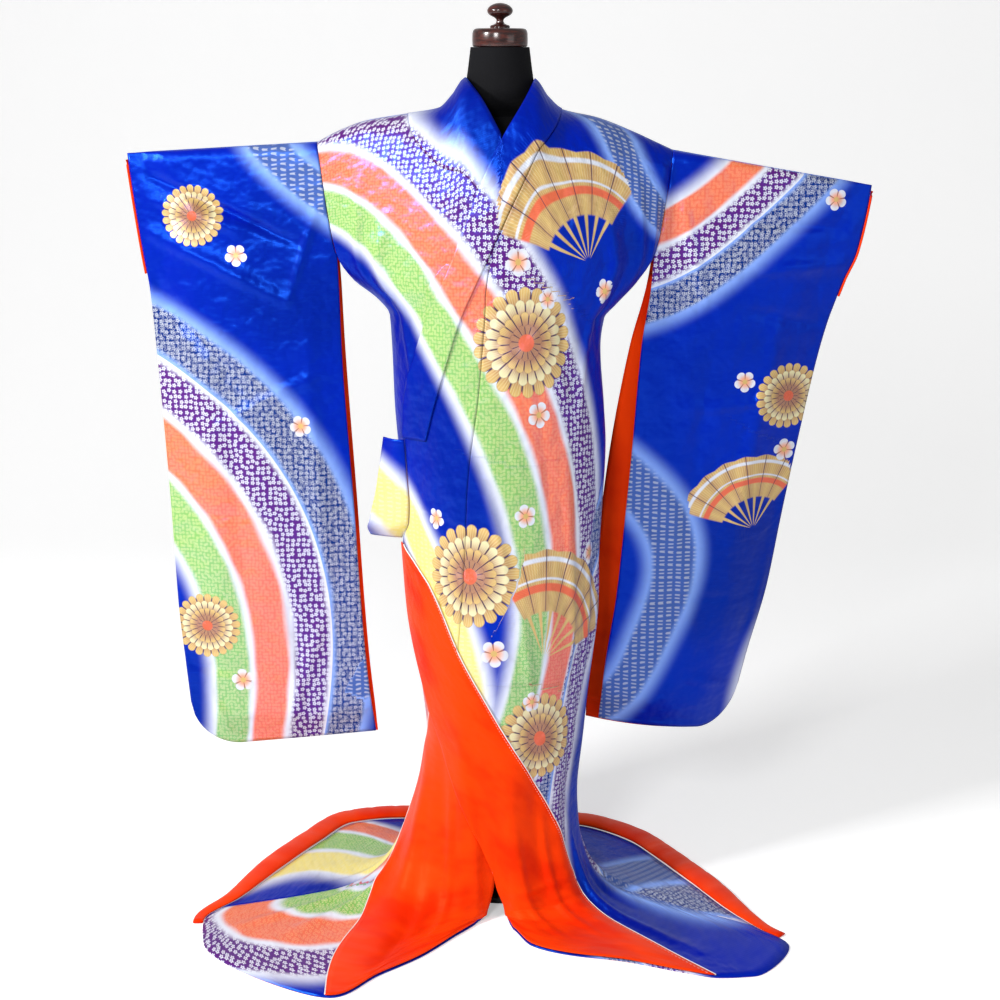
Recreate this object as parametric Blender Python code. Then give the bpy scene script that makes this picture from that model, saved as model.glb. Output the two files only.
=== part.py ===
"""Uchikake wedding kimono on a limbless dress form.

Metres, +Z up. -Y is the front and +X is the wearer's left. The origin is the
centre of the stand's underside.

The robe's cloth is one wrapped surface with a chart of two coordinates: an angle
round the body, 0 at the front centre and 90 at the wearer's left side, and a
level down the cloth. A level above ANKLE is a height on the body. Below it the
levels run on over the bend at the floor and out to the hem. Each panel, collar
and turned edge is a patch of that chart, moved out along its normal by its layer.
"""

import math
from bisect import bisect_right
from collections import namedtuple

import bmesh
import bpy
from mathutils import Vector

# Cloth, seams and layers
CLOTH = 0.0020
COLLAR_CLOTH = 0.0028
SEAM = 0.0005
LAP = 0.0034
FLOOR_LAP = 0.0018
FRONT_LAP = 0.0080
COLLAR_LAP = 0.0032

# Levels of the cloth
SHOULDER = 1.42
UNDERARM = 1.14
ANKLE = 0.30
HEM = -0.20
COLLAR_END = 0.85
OKUMI_TOP = 1.15
OKUMI_END = 0.29
TURN_TOP = 0.655
UNDER_TURN_TOP = 0.43

# Rows of a panel: close together over the shoulder and at the bend to the floor
UPPER_ROWS = (1.42, 1.416, 1.40, 1.37, 1.32, 1.26, 1.20, 1.15, 1.11, 1.075, 1.04)
SKIRT_ROWS = (0.96, 0.87, 0.78, 0.69, 0.60, 0.52, 0.44, 0.37, 0.30)
TRAIN_ROWS = (0.255, 0.21, 0.165, 0.125, 0.09, 0.055, 0.02, -0.02, -0.07, -0.13, -0.20)
COLLAR_ROWS = (1.13, 1.09, 1.00, 0.92)
TURN_ROWS = (0.64, 0.62, 0.56, 0.48, 0.405, 0.335)

# Where the left front's layer fades: toward the side, the shoulder and the floor
LAP_SIDE = (89.0, 70.0)
LAP_TOP = (1.42, 1.36)
LAP_FLOOR = (-0.02, 0.07)
TURN_FLOOR = (0.13, 0.05)

# Neck opening at the back
NAPE_EDGE = 0.045
NAPE_SEAM = 0.090
NECK_HALF = 0.0555
NAPE_KEEP = 1.10
NAPE_CLEAR = 0.007
NAPE_TURN = 80.0
NAPE_STEPS = 6
NAPE_SHARES = (0.0, 0.5, 1.0)
ARMHOLE_CLEAR = 0.0008

# Rounding over the shoulders and the tops of the sleeves
SHOULDER_POWER = 2.2
CREST = 0.018

# How late the cloth leaves the body for the floor, and how much later on the left
FLARE = 1.17
FLARE_TILT = 0.20

# Lines of the chart that the stacked pieces share, in degrees
LINE_STEP = 7.5
LINE_CLEAR = 1.6
SIDE = 90.0
CENTRE_BACK = 180.0
SEAM_TURN = 0.35

# Body sections: half widths, half depths, how flat the sides are, half gap of the side opening
Body = namedtuple("Body", "level right left front back pinch gape")
BODY = [
    Body(1.42, 0.300, 0.284, 0.106, 0.104, 2.6, 0.018),
    Body(1.25, 0.285, 0.270, 0.109, 0.104, 2.6, 0.018),
    Body(1.15, 0.271, 0.256, 0.111, 0.105, 2.3, 0.016),
    Body(1.11, 0.246, 0.231, 0.113, 0.106, 1.7, 0.010),
    Body(1.075, 0.204, 0.197, 0.115, 0.108, 1.25, 0.004),
    Body(1.05, 0.186, 0.174, 0.117, 0.110, 1.05, 0.001),
    Body(1.00, 0.183, 0.167, 0.119, 0.112, 1.0, 0.0),
    Body(0.90, 0.180, 0.174, 0.123, 0.115, 1.0, 0.0),
    Body(0.83, 0.175, 0.178, 0.125, 0.117, 1.0, 0.0),
    Body(0.72, 0.168, 0.174, 0.128, 0.118, 1.0, 0.0),
    Body(0.64, 0.161, 0.171, 0.130, 0.119, 1.0, 0.0),
    Body(0.54, 0.154, 0.168, 0.131, 0.120, 1.0, 0.0),
    Body(0.46, 0.146, 0.159, 0.132, 0.121, 1.0, 0.0),
    Body(0.38, 0.138, 0.149, 0.132, 0.122, 1.0, 0.0),
    Body(0.30, 0.131, 0.141, 0.133, 0.123, 1.0, 0.0),
    Body(0.20, 0.131, 0.129, 0.133, 0.123, 1.0, 0.0),
    Body(0.12, 0.131, 0.124, 0.133, 0.123, 1.0, 0.0),
]

# Height of the shoulder line by distance from the centre
Ridge = namedtuple("Ridge", "away right left")
RIDGE = [
    Ridge(0.000, 1.446, 1.444),
    Ridge(0.0555, 1.436, 1.434),
    Ridge(0.075, 1.410, 1.408),
    Ridge(0.100, 1.387, 1.387),
    Ridge(0.160, 1.378, 1.373),
    Ridge(0.220, 1.368, 1.350),
    Ridge(0.260, 1.354, 1.332),
    Ridge(0.300, 1.334, 1.314),
]

# The descent from ankle to hem: share of the run outward, height
Descent = namedtuple("Descent", "step run height")
DESCENT = [
    Descent(0.00, 0.00, 0.300),
    Descent(0.15, 0.02, 0.225),
    Descent(0.30, 0.07, 0.150),
    Descent(0.42, 0.13, 0.090),
    Descent(0.52, 0.21, 0.045),
    Descent(0.62, 0.33, 0.016),
    Descent(0.72, 0.48, 0.004),
    Descent(0.85, 0.73, 0.001),
    Descent(1.00, 1.00, 0.001),
]

# Hem of the train on the floor, from the centre back round the front
Hem = namedtuple("Hem", "angle x y")
HEM_LINE = [
    Hem(-180, 0.000, 0.235),
    Hem(-150, -0.199, 0.246),
    Hem(-135, -0.290, 0.226),
    Hem(-122, -0.345, 0.145),
    Hem(-108, -0.407, 0.034),
    Hem(-95, -0.466, -0.078),
    Hem(-84, -0.520, -0.160),
    Hem(-72, -0.508, -0.242),
    Hem(-58, -0.412, -0.347),
    Hem(-45, -0.275, -0.414),
    Hem(-32, -0.200, -0.345),
    Hem(-20, -0.135, -0.288),
    Hem(-10, -0.066, -0.205),
    Hem(-3, -0.020, -0.160),
    Hem(3, 0.018, -0.185),
    Hem(12, 0.054, -0.248),
    Hem(22, 0.110, -0.277),
    Hem(38, 0.215, -0.303),
    Hem(52, 0.310, -0.338),
    Hem(60, 0.363, -0.353),
    Hem(68, 0.422, -0.348),
    Hem(78, 0.494, -0.252),
    Hem(88, 0.450, -0.192),
    Hem(100, 0.403, -0.125),
    Hem(115, 0.342, -0.012),
    Hem(130, 0.290, 0.082),
    Hem(145, 0.246, 0.150),
    Hem(160, 0.150, 0.215),
    Hem(180, 0.000, 0.235),
]

# Collar of each front: free edge and seam, by distance from the centre toward the wearer's left
Collar = namedtuple("Collar", "level edge seam")
COLLAR_LEFT = [
    Collar(1.42, 0.0555, 0.100),
    Collar(1.385, 0.038, 0.088),
    Collar(1.33, 0.004, 0.064),
    Collar(1.28, -0.022, 0.042),
    Collar(1.22, -0.049, 0.012),
    Collar(1.15, -0.077, -0.021),
    Collar(1.06, -0.114, -0.060),
    Collar(0.96, -0.144, -0.091),
    Collar(0.90, -0.156, -0.108),
    Collar(0.85, -0.157, -0.120),
]
COLLAR_RIGHT = [
    Collar(1.42, -0.0555, -0.150),
    Collar(1.385, -0.028, -0.142),
    Collar(1.33, 0.003, -0.104),
    Collar(1.28, 0.026, -0.054),
    Collar(1.22, 0.052, -0.008),
    Collar(1.15, 0.080, 0.022),
    Collar(1.06, 0.105, 0.050),
    Collar(0.96, 0.120, 0.068),
    Collar(0.85, 0.130, 0.078),
]

# Lines down the fronts, in degrees of the chart
Line = namedtuple("Line", "level angle")
OKUMI_SEAM = [
    Line(1.15, -3),
    Line(1.06, -7),
    Line(0.925, -11),
    Line(0.796, -17),
    Line(0.67, -20),
    Line(0.55, -24),
    Line(0.42, -31),
    Line(0.29, -39),
]
# Edge of the left front, where it folds outward below the hip
LEFT_FOLD = [
    Line(1.15, -18),
    Line(1.06, -38),
    Line(0.96, -52),
    Line(0.85, -61),
    Line(0.75, -61),
    Line(0.70, -64),
    Line(0.65, -82),
    Line(0.60, -84),
    Line(0.53, -80),
    Line(0.474, -73),
    Line(0.42, -65),
    Line(0.355, -57),
    Line(0.30, -47),
    Line(0.25, -37),
    Line(0.20, -26),
    Line(0.15, -16),
    Line(0.10, -8),
    Line(0.05, -1),
    Line(0.00, 3),
    Line(-0.20, 4),
]
# Free edge of the left front's turned part
LEFT_TURN = [
    Line(0.655, -74),
    Line(0.60, -46),
    Line(0.474, -24),
    Line(0.40, -9),
    Line(0.329, 6),
    Line(0.26, 22),
    Line(0.195, 37),
    Line(0.13, 48),
    Line(0.06, 54),
    Line(-0.02, 58),
    Line(-0.20, 59),
]
# Edge of the right front under it, and of that front's turned part
RIGHT_FOLD = [
    Line(0.85, 26),
    Line(0.75, 45),
    Line(0.67, 62),
    Line(0.60, 68),
    Line(0.474, 60),
    Line(0.355, 44),
    Line(0.25, 28),
    Line(0.20, 18),
    Line(0.15, 8),
    Line(0.10, -1),
    Line(0.05, -4),
    Line(-0.02, -7),
    Line(-0.20, -7),
]
RIGHT_TURN = [
    Line(0.43, -44),
    Line(0.37, -60),
    Line(0.32, -72),
    Line(0.27, -81),
    Line(0.20, -86),
    Line(0.13, -86),
    Line(0.08, -80),
    Line(0.03, -72),
    Line(-0.04, -60),
    Line(-0.20, -46),
]
# Where the right front's turned part ends under the left front, and its fold below that
RIGHT_TURN_INNER = [
    Line(0.43, 6),
    Line(0.30, 10),
    Line(0.20, 7),
    Line(0.15, 4),
    Line(0.10, -1),
    Line(0.05, -4),
    Line(-0.02, -7),
    Line(-0.20, -7),
]

# Soft folds of the skirt and train: a crest or valley from one place of the chart to another
FOLD_REACH = 3.0
FOLD_FADE = 0.7
Fold = namedtuple("Fold", "top top_angle bottom bottom_angle spread depth")
FOLDS = [
    Fold(0.40, -30, -0.16, -16, 7.0, 0.006),
    Fold(0.34, -52, -0.16, -31, 7.0, -0.006),
    Fold(0.28, -70, -0.18, -44, 6.0, 0.009),
    Fold(0.30, 4, -0.18, 18, 6.0, 0.007),
    Fold(0.42, 20, -0.18, 34, 6.5, -0.005),
    Fold(0.30, 42, -0.18, 52, 6.0, 0.007),
    Fold(0.90, 62, 0.12, 66, 8.0, -0.005),
    Fold(0.62, 78, 0.05, 76, 6.0, 0.005),
    Fold(0.95, -40, 0.55, -66, 9.0, -0.004),
    Fold(0.60, 112, -0.16, 106, 8.0, 0.009),
    Fold(0.85, 138, -0.18, 134, 8.0, -0.006),
    Fold(0.62, 162, -0.18, 164, 8.0, 0.008),
    Fold(0.80, 196, -0.18, 198, 8.0, 0.007),
    Fold(0.62, 222, -0.18, 226, 8.0, -0.006),
    Fold(0.58, 248, -0.16, 252, 8.0, 0.009),
    Fold(1.30, 128, 0.98, 122, 9.0, 0.004),
    Fold(1.30, 232, 0.98, 238, 9.0, 0.004),
]

# Sleeves: reach of the inner and outer edges from the centre, and how far the middle and
# outer edge lie behind the shoulder line
Sleeve = namedtuple("Sleeve", "height front_inner back_inner outer inner_y middle_y outer_y")
SLEEVE_RIGHT = [
    Sleeve(1.34, 0.286, 0.286, 0.618, 0.000, 0.000, 0.000),
    Sleeve(1.15, 0.2715, 0.2715, 0.596, 0.000, -0.006, 0.000),
    Sleeve(1.10, 0.2700, 0.2680, 0.590, 0.000, -0.008, 0.000),
    Sleeve(0.99, 0.2680, 0.2640, 0.583, 0.000, -0.012, -0.002),
    Sleeve(0.72, 0.2530, 0.2490, 0.571, -0.004, -0.018, -0.006),
    Sleeve(0.54, 0.2440, 0.2400, 0.566, -0.006, -0.016, -0.010),
    Sleeve(0.43, 0.2370, 0.2330, 0.558, -0.006, -0.014, -0.012),
    Sleeve(0.27, 0.2200, 0.2170, 0.545, -0.006, -0.012, -0.016),
]
SLEEVE_LEFT = [
    Sleeve(1.33, 0.272, 0.272, 0.632, 0.000, 0.000, 0.022),
    Sleeve(1.15, 0.2565, 0.2565, 0.602, 0.000, 0.002, 0.030),
    Sleeve(1.10, 0.2540, 0.2490, 0.583, 0.002, 0.006, 0.036),
    Sleeve(0.99, 0.2400, 0.2220, 0.554, 0.010, 0.014, 0.050),
    Sleeve(0.81, 0.2290, 0.1930, 0.524, 0.030, 0.026, 0.070),
    Sleeve(0.67, 0.2190, 0.1780, 0.503, 0.044, 0.034, 0.082),
    Sleeve(0.54, 0.2080, 0.1680, 0.484, 0.050, 0.040, 0.090),
    Sleeve(0.40, 0.1890, 0.1600, 0.451, 0.052, 0.042, 0.096),
    Sleeve(0.25, 0.1760, 0.1560, 0.420, 0.052, 0.042, 0.098),
]
SLEEVE_TOP_OUTER = {"right": 1.316, "left": 1.262}
SLEEVE_BOTTOM_INNER = {"right": 0.296, "left": 0.300}
SLEEVE_BOTTOM_OUTER = {"right": 0.270, "left": 0.266}
SLEEVE_TOP_GAP = 0.0002
SLEEVE_CORNER = 0.085
CORNER_START = 0.74
# Half depth of the sleeve's hollow, and where along the sleeve it opens and closes
SLEEVE_CLOSED = CLOTH / 2 + SEAM
SLEEVE_POUCH = 0.013
SLEEVE_FURL = 0.012
FURL_SWELL = 0.005
FURL_HEIGHTS = (1.05, 1.15)
POUCH_ACROSS = (0.0, 0.35)
SEAM_ACROSS = (1.0, 0.72)
HEM_CLOSE = 0.06
WRIST_LENGTH = 0.22
WRIST_HALF = 0.007
WRIST_ROUND = 0.6
WRIST_DOWNS = (0.012, 0.205)
WRIST_STEPS = 12
CUFF_RADIUS = 0.0020
CUFF_SIDES = 6
CUFF_DRAW = 0.08
SLEEVE_DOWNS = (
    0.0, 0.004, 0.013, 0.04, 0.10, 0.165, 0.20, 0.26, 0.36, 0.47, 0.58, 0.69, 0.79, 0.87, 0.93, 0.97, 1.0
)
SLEEVE_ACROSSES = (0.0, 0.10, 0.26, 0.45, 0.64, 0.80, 0.90, 0.96, 1.0)
LINING_ACROSSES = SLEEVE_ACROSSES[:3]
LINING_DOWNS = SLEEVE_DOWNS[6:-1]
SLEEVE_STEP = 0.0015
# A normal on the sleeve's top edge, which faces up more than forward or back
TOP_FACING = 0.3

# The pulled edge at the hip
Pull = namedtuple("Pull", "level out back")
HIP_CLEAR = 0.0022
HIP_ROWS = 6
HIP_STEPS = 4
HIP_TURN = 0.5
HIP_PULL = [
    Pull(0.846, 0.036, 0.020),
    Pull(0.77, 0.052, 0.024),
    Pull(0.69, 0.068, 0.026),
    Pull(0.665, 0.056, 0.024),
]

# Padded hem
ROLL_HALF_WIDTH = 0.023
ROLL_HEIGHT = 0.014
ROLL_TIP = 0.40
ROLL_GROWTH = 4
ROLL_FLAT = 0.75
ROLL_SIDES = 10

# Dress form: rings from the bottom up
Ring = namedtuple("Ring", "z half_x half_y")
TORSO = [
    Ring(0.7000, 0.110, 0.070),
    Ring(0.7100, 0.135, 0.090),
    Ring(0.7400, 0.150, 0.103),
    Ring(0.8100, 0.157, 0.109),
    Ring(0.8800, 0.154, 0.106),
    Ring(0.9500, 0.134, 0.095),
    Ring(1.0100, 0.122, 0.088),
    Ring(1.0700, 0.130, 0.091),
    Ring(1.1400, 0.148, 0.096),
    Ring(1.2200, 0.160, 0.090),
    Ring(1.2800, 0.168, 0.072),
    Ring(1.3200, 0.172, 0.050),
    Ring(1.3560, 0.168, 0.026),
    Ring(1.3690, 0.152, 0.022),
    Ring(1.3740, 0.134, 0.018),
    Ring(1.3782, 0.114, 0.019),
    Ring(1.3825, 0.094, 0.024),
    Ring(1.3920, 0.076, 0.034),
    Ring(1.4040, 0.062, 0.042),
    Ring(1.4200, 0.0575, 0.047),
    Ring(1.4400, 0.0540, 0.046),
    Ring(1.4855, 0.0480, 0.045),
]
BASE = [
    Ring(0.0000, 0.098, 0.098),
    Ring(0.0030, 0.102, 0.102),
    Ring(0.0120, 0.102, 0.102),
    Ring(0.0180, 0.090, 0.090),
    Ring(0.0220, 0.030, 0.030),
]
POLE_RADIUS = 0.0125
STAND_GAP = 0.0003
CAP = [
    Ring(1.4858, 0.0425, 0.0425),
    Ring(1.4880, 0.0450, 0.0450),
    Ring(1.5080, 0.0450, 0.0450),
    Ring(1.5130, 0.0425, 0.0425),
    Ring(1.5150, 0.0380, 0.0380),
]
FINIAL = [
    Ring(1.5153, 0.0160, 0.0160),
    Ring(1.5190, 0.0155, 0.0155),
    Ring(1.5230, 0.0065, 0.0065),
    Ring(1.5280, 0.0055, 0.0055),
    Ring(1.5330, 0.0120, 0.0120),
    Ring(1.5390, 0.0200, 0.0200),
    Ring(1.5450, 0.0205, 0.0205),
    Ring(1.5510, 0.0140, 0.0140),
    Ring(1.5545, 0.0060, 0.0060),
]
TORSO_SIDES = 24
BASE_SIDES = 24
SMALL_SIDES = 16

# Colours: red, green, blue, then roughness and metallic
BLUE_SATIN = (0.010, 0.050, 0.420, 0.40, 0.0)
RED_LINING = (0.780, 0.060, 0.010, 0.45, 0.0)
BLACK_JERSEY = (0.006, 0.006, 0.008, 0.85, 0.0)
DARK_WOOD = (0.035, 0.008, 0.006, 0.18, 0.0)
BLACK_PAINT = (0.012, 0.012, 0.012, 0.35, 0.0)

FRONT = (-90.0, 90.0)
BACK = (90.0, 270.0)
ANGLE_STEP = 0.4
LEVEL_STEP = 0.0015
SHARP_EDGE = 50.0


class Curve:
    """One column of a table as a smooth curve that keeps each rise and fall of the rows."""

    def __init__(self, rows, column):
        pairs = sorted((row[0], getattr(row, column)) for row in rows)
        self.keys = [pair[0] for pair in pairs]
        self.values = [pair[1] for pair in pairs]
        spans = [b - a for a, b in zip(self.keys, self.keys[1:])]
        slopes = [(b - a) / span for a, b, span in zip(self.values, self.values[1:], spans)]
        middle = [self.tangent(a, b) for a, b in zip(slopes, slopes[1:])]
        self.tangents = [slopes[0]] + middle + [slopes[-1]]

    @staticmethod
    def tangent(before, after):
        if before * after <= 0.0:
            return 0.0
        return 2.0 * before * after / (before + after)

    def __call__(self, key):
        key = min(max(key, self.keys[0]), self.keys[-1])
        i = min(max(bisect_right(self.keys, key) - 1, 0), len(self.keys) - 2)
        span = self.keys[i + 1] - self.keys[i]
        t = (key - self.keys[i]) / span
        start, end = self.values[i], self.values[i + 1]
        leave, arrive = self.tangents[i] * span, self.tangents[i + 1] * span
        return (
            start * (2 * t**3 - 3 * t**2 + 1)
            + leave * (t**3 - 2 * t**2 + t)
            + end * (3 * t**2 - 2 * t**3)
            + arrive * (t**3 - t**2)
        )


def columns(rows):
    """All the columns of a table but its key, as curves by name."""
    return {name: Curve(rows, name) for name in rows[0]._fields[1:]}


BODY_CURVES = columns(BODY)
RIDGE_CURVES = columns(RIDGE)
DESCENT_CURVES = columns(DESCENT)
HEM_CURVES = columns(HEM_LINE)


def ramp(value, start, end):
    """0 at start, 1 at end, smooth between them."""
    t = min(max((value - start) / (end - start), 0.0), 1.0)
    return t * t * (3.0 - 2.0 * t)


def half_width(level, side):
    return BODY_CURVES["left" if side > 0 else "right"](level)


def angle_of(x, level):
    """Front angle of the chart at a distance from the centre."""
    side = 1 if x > 0 else -1
    share = min(abs(x) / half_width(level, side), 1.0)
    return side * math.degrees(math.asin(share))


def ridge_height(x):
    return RIDGE_CURVES["left" if x > 0 else "right"](abs(x))


def crest(depth_below):
    """Rounding over a top edge, from 0 on the edge to 1 below it."""
    t = 1.0 - min(max(depth_below / CREST, 0.0), 1.0)
    return math.sqrt(max(1.0 - t * t, 0.0))


def fold_lift(angle, level):
    """Height of the soft folds at a place of the chart."""
    lift = 0.0
    for fold in FOLDS:
        if not fold.bottom < level < fold.top:
            continue
        t = (fold.top - level) / (fold.top - fold.bottom)
        middle = fold.top_angle + t * (fold.bottom_angle - fold.top_angle)
        away = (angle - middle) / fold.spread
        if abs(away) < FOLD_REACH:
            lift += fold.depth * math.exp(-away * away) * math.sin(math.pi * t) ** FOLD_FADE
    return lift


def body_point(angle, level, half):
    """Point of the wrapped surface on its front or back half, without its folds."""
    turn = math.radians(angle)
    side = 1 if math.sin(turn) > 0 else -1
    face = -1 if half is FRONT else 1
    wide = half_width(level, side)
    deep = BODY_CURVES["front" if half is FRONT else "back"](max(level, ANKLE))
    x = wide * math.sin(turn)
    swell = abs(math.cos(turn)) ** BODY_CURVES["pinch"](max(level, ANKLE))
    gape = BODY_CURVES["gape"](max(level, ANKLE))
    if level > UNDERARM:
        t = (level - UNDERARM) / (SHOULDER - UNDERARM)
        top = ridge_height(x)
        z = UNDERARM + (top - UNDERARM) * t
        rounding = max(1.0 - t**SHOULDER_POWER, 0.0) ** (1.0 / SHOULDER_POWER)
        return Vector((x, face * (gape * crest(top - z) + (deep - gape) * swell * rounding), z))
    y = face * (gape + (deep - gape) * swell)
    if level >= ANKLE:
        return Vector((x, y, level))
    step = (ANKLE - level) / (ANKLE - HEM)
    run = DESCENT_CURVES["run"](step) ** (FLARE + FLARE_TILT * math.sin(turn))
    hem_angle = (angle + 180.0) % 360.0 - 180.0
    x += (HEM_CURVES["x"](hem_angle) - x) * run
    y += (HEM_CURVES["y"](hem_angle) - y) * run
    return Vector((x, y, DESCENT_CURVES["height"](step)))


def chart(angle, level, half):
    """Point and outward normal of the wrapped surface, with its folds."""
    right_of = body_point(max(angle - ANGLE_STEP, half[0]), level, half)
    left_of = body_point(min(angle + ANGLE_STEP, half[1]), level, half)
    above = body_point(angle, min(level + LEVEL_STEP, SHOULDER), half)
    below = body_point(angle, max(level - LEVEL_STEP, HEM), half)
    normal = (below - above).cross(left_of - right_of).normalized()
    point = body_point(angle, level, half) + normal * fold_lift(angle, level)
    point.z = max(point.z, CLOTH / 2)
    return point, normal


def material(name, look):
    mat = bpy.data.materials.new(name)
    mat.use_nodes = True
    shader = mat.node_tree.nodes["Principled BSDF"]
    shader.inputs["Base Color"].default_value = (*look[:3], 1.0)
    shader.inputs["Roughness"].default_value = look[3]
    shader.inputs["Metallic"].default_value = look[4]
    return mat


def add_object(name, bm, look):
    bmesh.ops.recalc_face_normals(bm, faces=bm.faces)
    mesh = bpy.data.meshes.new(name)
    bm.to_mesh(mesh)
    bm.free()
    mesh.shade_smooth()
    mesh.set_sharp_from_angle(angle=math.radians(SHARP_EDGE))
    mesh.materials.append(material(name, look))
    obj = bpy.data.objects.new(name, mesh)
    bpy.context.collection.objects.link(obj)
    return obj


def drawn_in(point, toward):
    """A border point moved in by half a seam."""
    return point + (toward - point).normalized() * SEAM / 2


def wall(name, rows, thick, look):
    """Closed wall through rows of spots. A spot is its key across, its middle point and its normal.

    Rows may have different numbers of spots. Neighbouring rows are joined in the
    order of their keys, so pieces that share their lines lie parallel.
    """
    points = [[point.copy() for _, point, _ in row] for row in rows]
    for line, row in zip(points, rows):
        line[0] = drawn_in(row[0][1], row[1][1])
        line[-1] = drawn_in(row[-1][1], row[-2][1])
    for edge, beside in ((0, 1), (-1, -2)):
        for i, (key, _, _) in enumerate(rows[edge]):
            nearest = min(rows[beside], key=lambda spot: abs(spot[0] - key))
            points[edge][i] = drawn_in(points[edge][i], nearest[1])

    bm = bmesh.new()
    skins = []
    for half in (0.5, -0.5):
        skins.append([
            [bm.verts.new(point + spot[2] * thick * half) for point, spot in zip(line, row)]
            for line, row in zip(points, rows)
        ])
    keys = [[spot[0] for spot in row] for row in rows]
    for skin in skins:
        for i in range(len(rows) - 1):
            join_rows(bm, keys[i], skin[i], keys[i + 1], skin[i + 1])
    outer, inner = (border(skin) for skin in skins)
    for a, b, c, d in zip(outer, outer[1:] + outer[:1], inner[1:] + inner[:1], inner):
        bm.faces.new((a, b, c, d))
    return add_object(name, bm, look)


def join_rows(bm, upper_keys, upper, lower_keys, lower):
    """Triangles between two rows of points."""
    i = j = 0
    while i < len(upper) - 1 or j < len(lower) - 1:
        above_next = i < len(upper) - 1
        if above_next and j < len(lower) - 1:
            above_next = upper_keys[i + 1] <= lower_keys[j + 1]
        if above_next:
            bm.faces.new((upper[i], upper[i + 1], lower[j]))
            i += 1
        else:
            bm.faces.new((upper[i], lower[j + 1], lower[j]))
            j += 1


def border(rows):
    """Points round the edge of a wall, in order."""
    right_side = [row[-1] for row in rows[1:-1]]
    left_side = [row[0] for row in rows[1:-1]]
    return rows[0] + right_side + rows[-1][::-1] + left_side[::-1]


def patch(name, rows, half, look):
    """Wall over rows of chart places, each an angle, a level and a layer height."""
    spots = []
    for row in rows:
        line = []
        for angle, level, out in row:
            point, normal = chart(angle, level, half)
            line.append((angle, point + normal * out, normal))
        spots.append(line)
    wall(name, spots, CLOTH, look)


def lines_between(start, end):
    """Angles of a row: its two ends and the chart's shared lines between them."""
    low, high = min(start, end), max(start, end)
    first = math.ceil((low + LINE_CLEAR) / LINE_STEP)
    last = math.floor((high - LINE_CLEAR) / LINE_STEP)
    return [low] + [LINE_STEP * i for i in range(first, last + 1)] + [high]


def spread(start, end, count):
    return [start + (end - start) * i / count for i in range(count + 1)]


def front_layer(angle, level):
    """How far the left front lies out over the right front."""
    return FRONT_LAP * ramp(angle, *LAP_SIDE) * ramp(level, *LAP_TOP) * ramp(level, *LAP_FLOOR)


def levels_between(top, bottom, extra=()):
    """Rows of a piece from its top to its bottom."""
    rows = UPPER_ROWS + SKIRT_ROWS + TRAIN_ROWS + extra
    inside = {level for level in rows if bottom < level < top}
    return sorted(inside | {top, bottom}, reverse=True)


def front_panels():
    """Front panels and the overlap panel, each from its side or seam to its edge."""
    left_seam = Curve(COLLAR_LEFT, "seam")
    right_seam = Curve(COLLAR_RIGHT, "seam")
    okumi = Curve(OKUMI_SEAM, "angle")
    fold = Curve(LEFT_FOLD, "angle")
    under_fold = Curve(RIGHT_FOLD, "angle")

    rows = []
    for level in levels_between(SHOULDER, HEM, (OKUMI_END,)):
        if level > OKUMI_TOP:
            edge = angle_of(left_seam(level), level)
        elif level >= OKUMI_END:
            edge = okumi(level)
        else:
            edge = fold(level)
        rows.append([(angle, level, front_layer(angle, level)) for angle in lines_between(edge, SIDE)])
    patch("front_left", rows, FRONT, BLUE_SATIN)

    rows = []
    for level in levels_between(OKUMI_TOP, OKUMI_END, COLLAR_ROWS + TURN_ROWS):
        angles = lines_between(fold(level), okumi(level) - SEAM_TURN)
        rows.append([(angle, level, front_layer(angle, level)) for angle in angles])
    patch("okumi_left", rows, FRONT, BLUE_SATIN)

    rows = []
    for level in levels_between(SHOULDER, HEM):
        edge = under_fold(level) if level < COLLAR_END else angle_of(right_seam(level), level)
        rows.append([(angle, level, 0.0) for angle in lines_between(-SIDE, edge)])
    patch("front_right", rows, FRONT, BLUE_SATIN)


def back_panels():
    """Back panels: the neck is cut out of their top edge, and the rest meets the fronts."""
    for name, side, neck in (
        ("back_left", 1, COLLAR_LEFT[0].seam),
        ("back_right", -1, COLLAR_RIGHT[0].seam),
    ):
        rows = []
        for level in levels_between(SHOULDER, HEM):
            row = []
            for angle in lines_between(CENTRE_BACK - side * SIDE, CENTRE_BACK):
                x = half_width(SHOULDER, side) * abs(math.sin(math.radians(angle)))
                reach = min(x / (abs(neck) + NAPE_CLEAR), 1.0)
                drop = (NAPE_SEAM + NAPE_CLEAR) * math.sqrt(1.0 - reach * reach)
                share = max(level - NAPE_KEEP, 0.0) / (SHOULDER - NAPE_KEEP)
                row.append((angle, level - drop * share, 0.0))
            rows.append(row)
        patch(name, rows, BACK, BLUE_SATIN)


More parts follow.
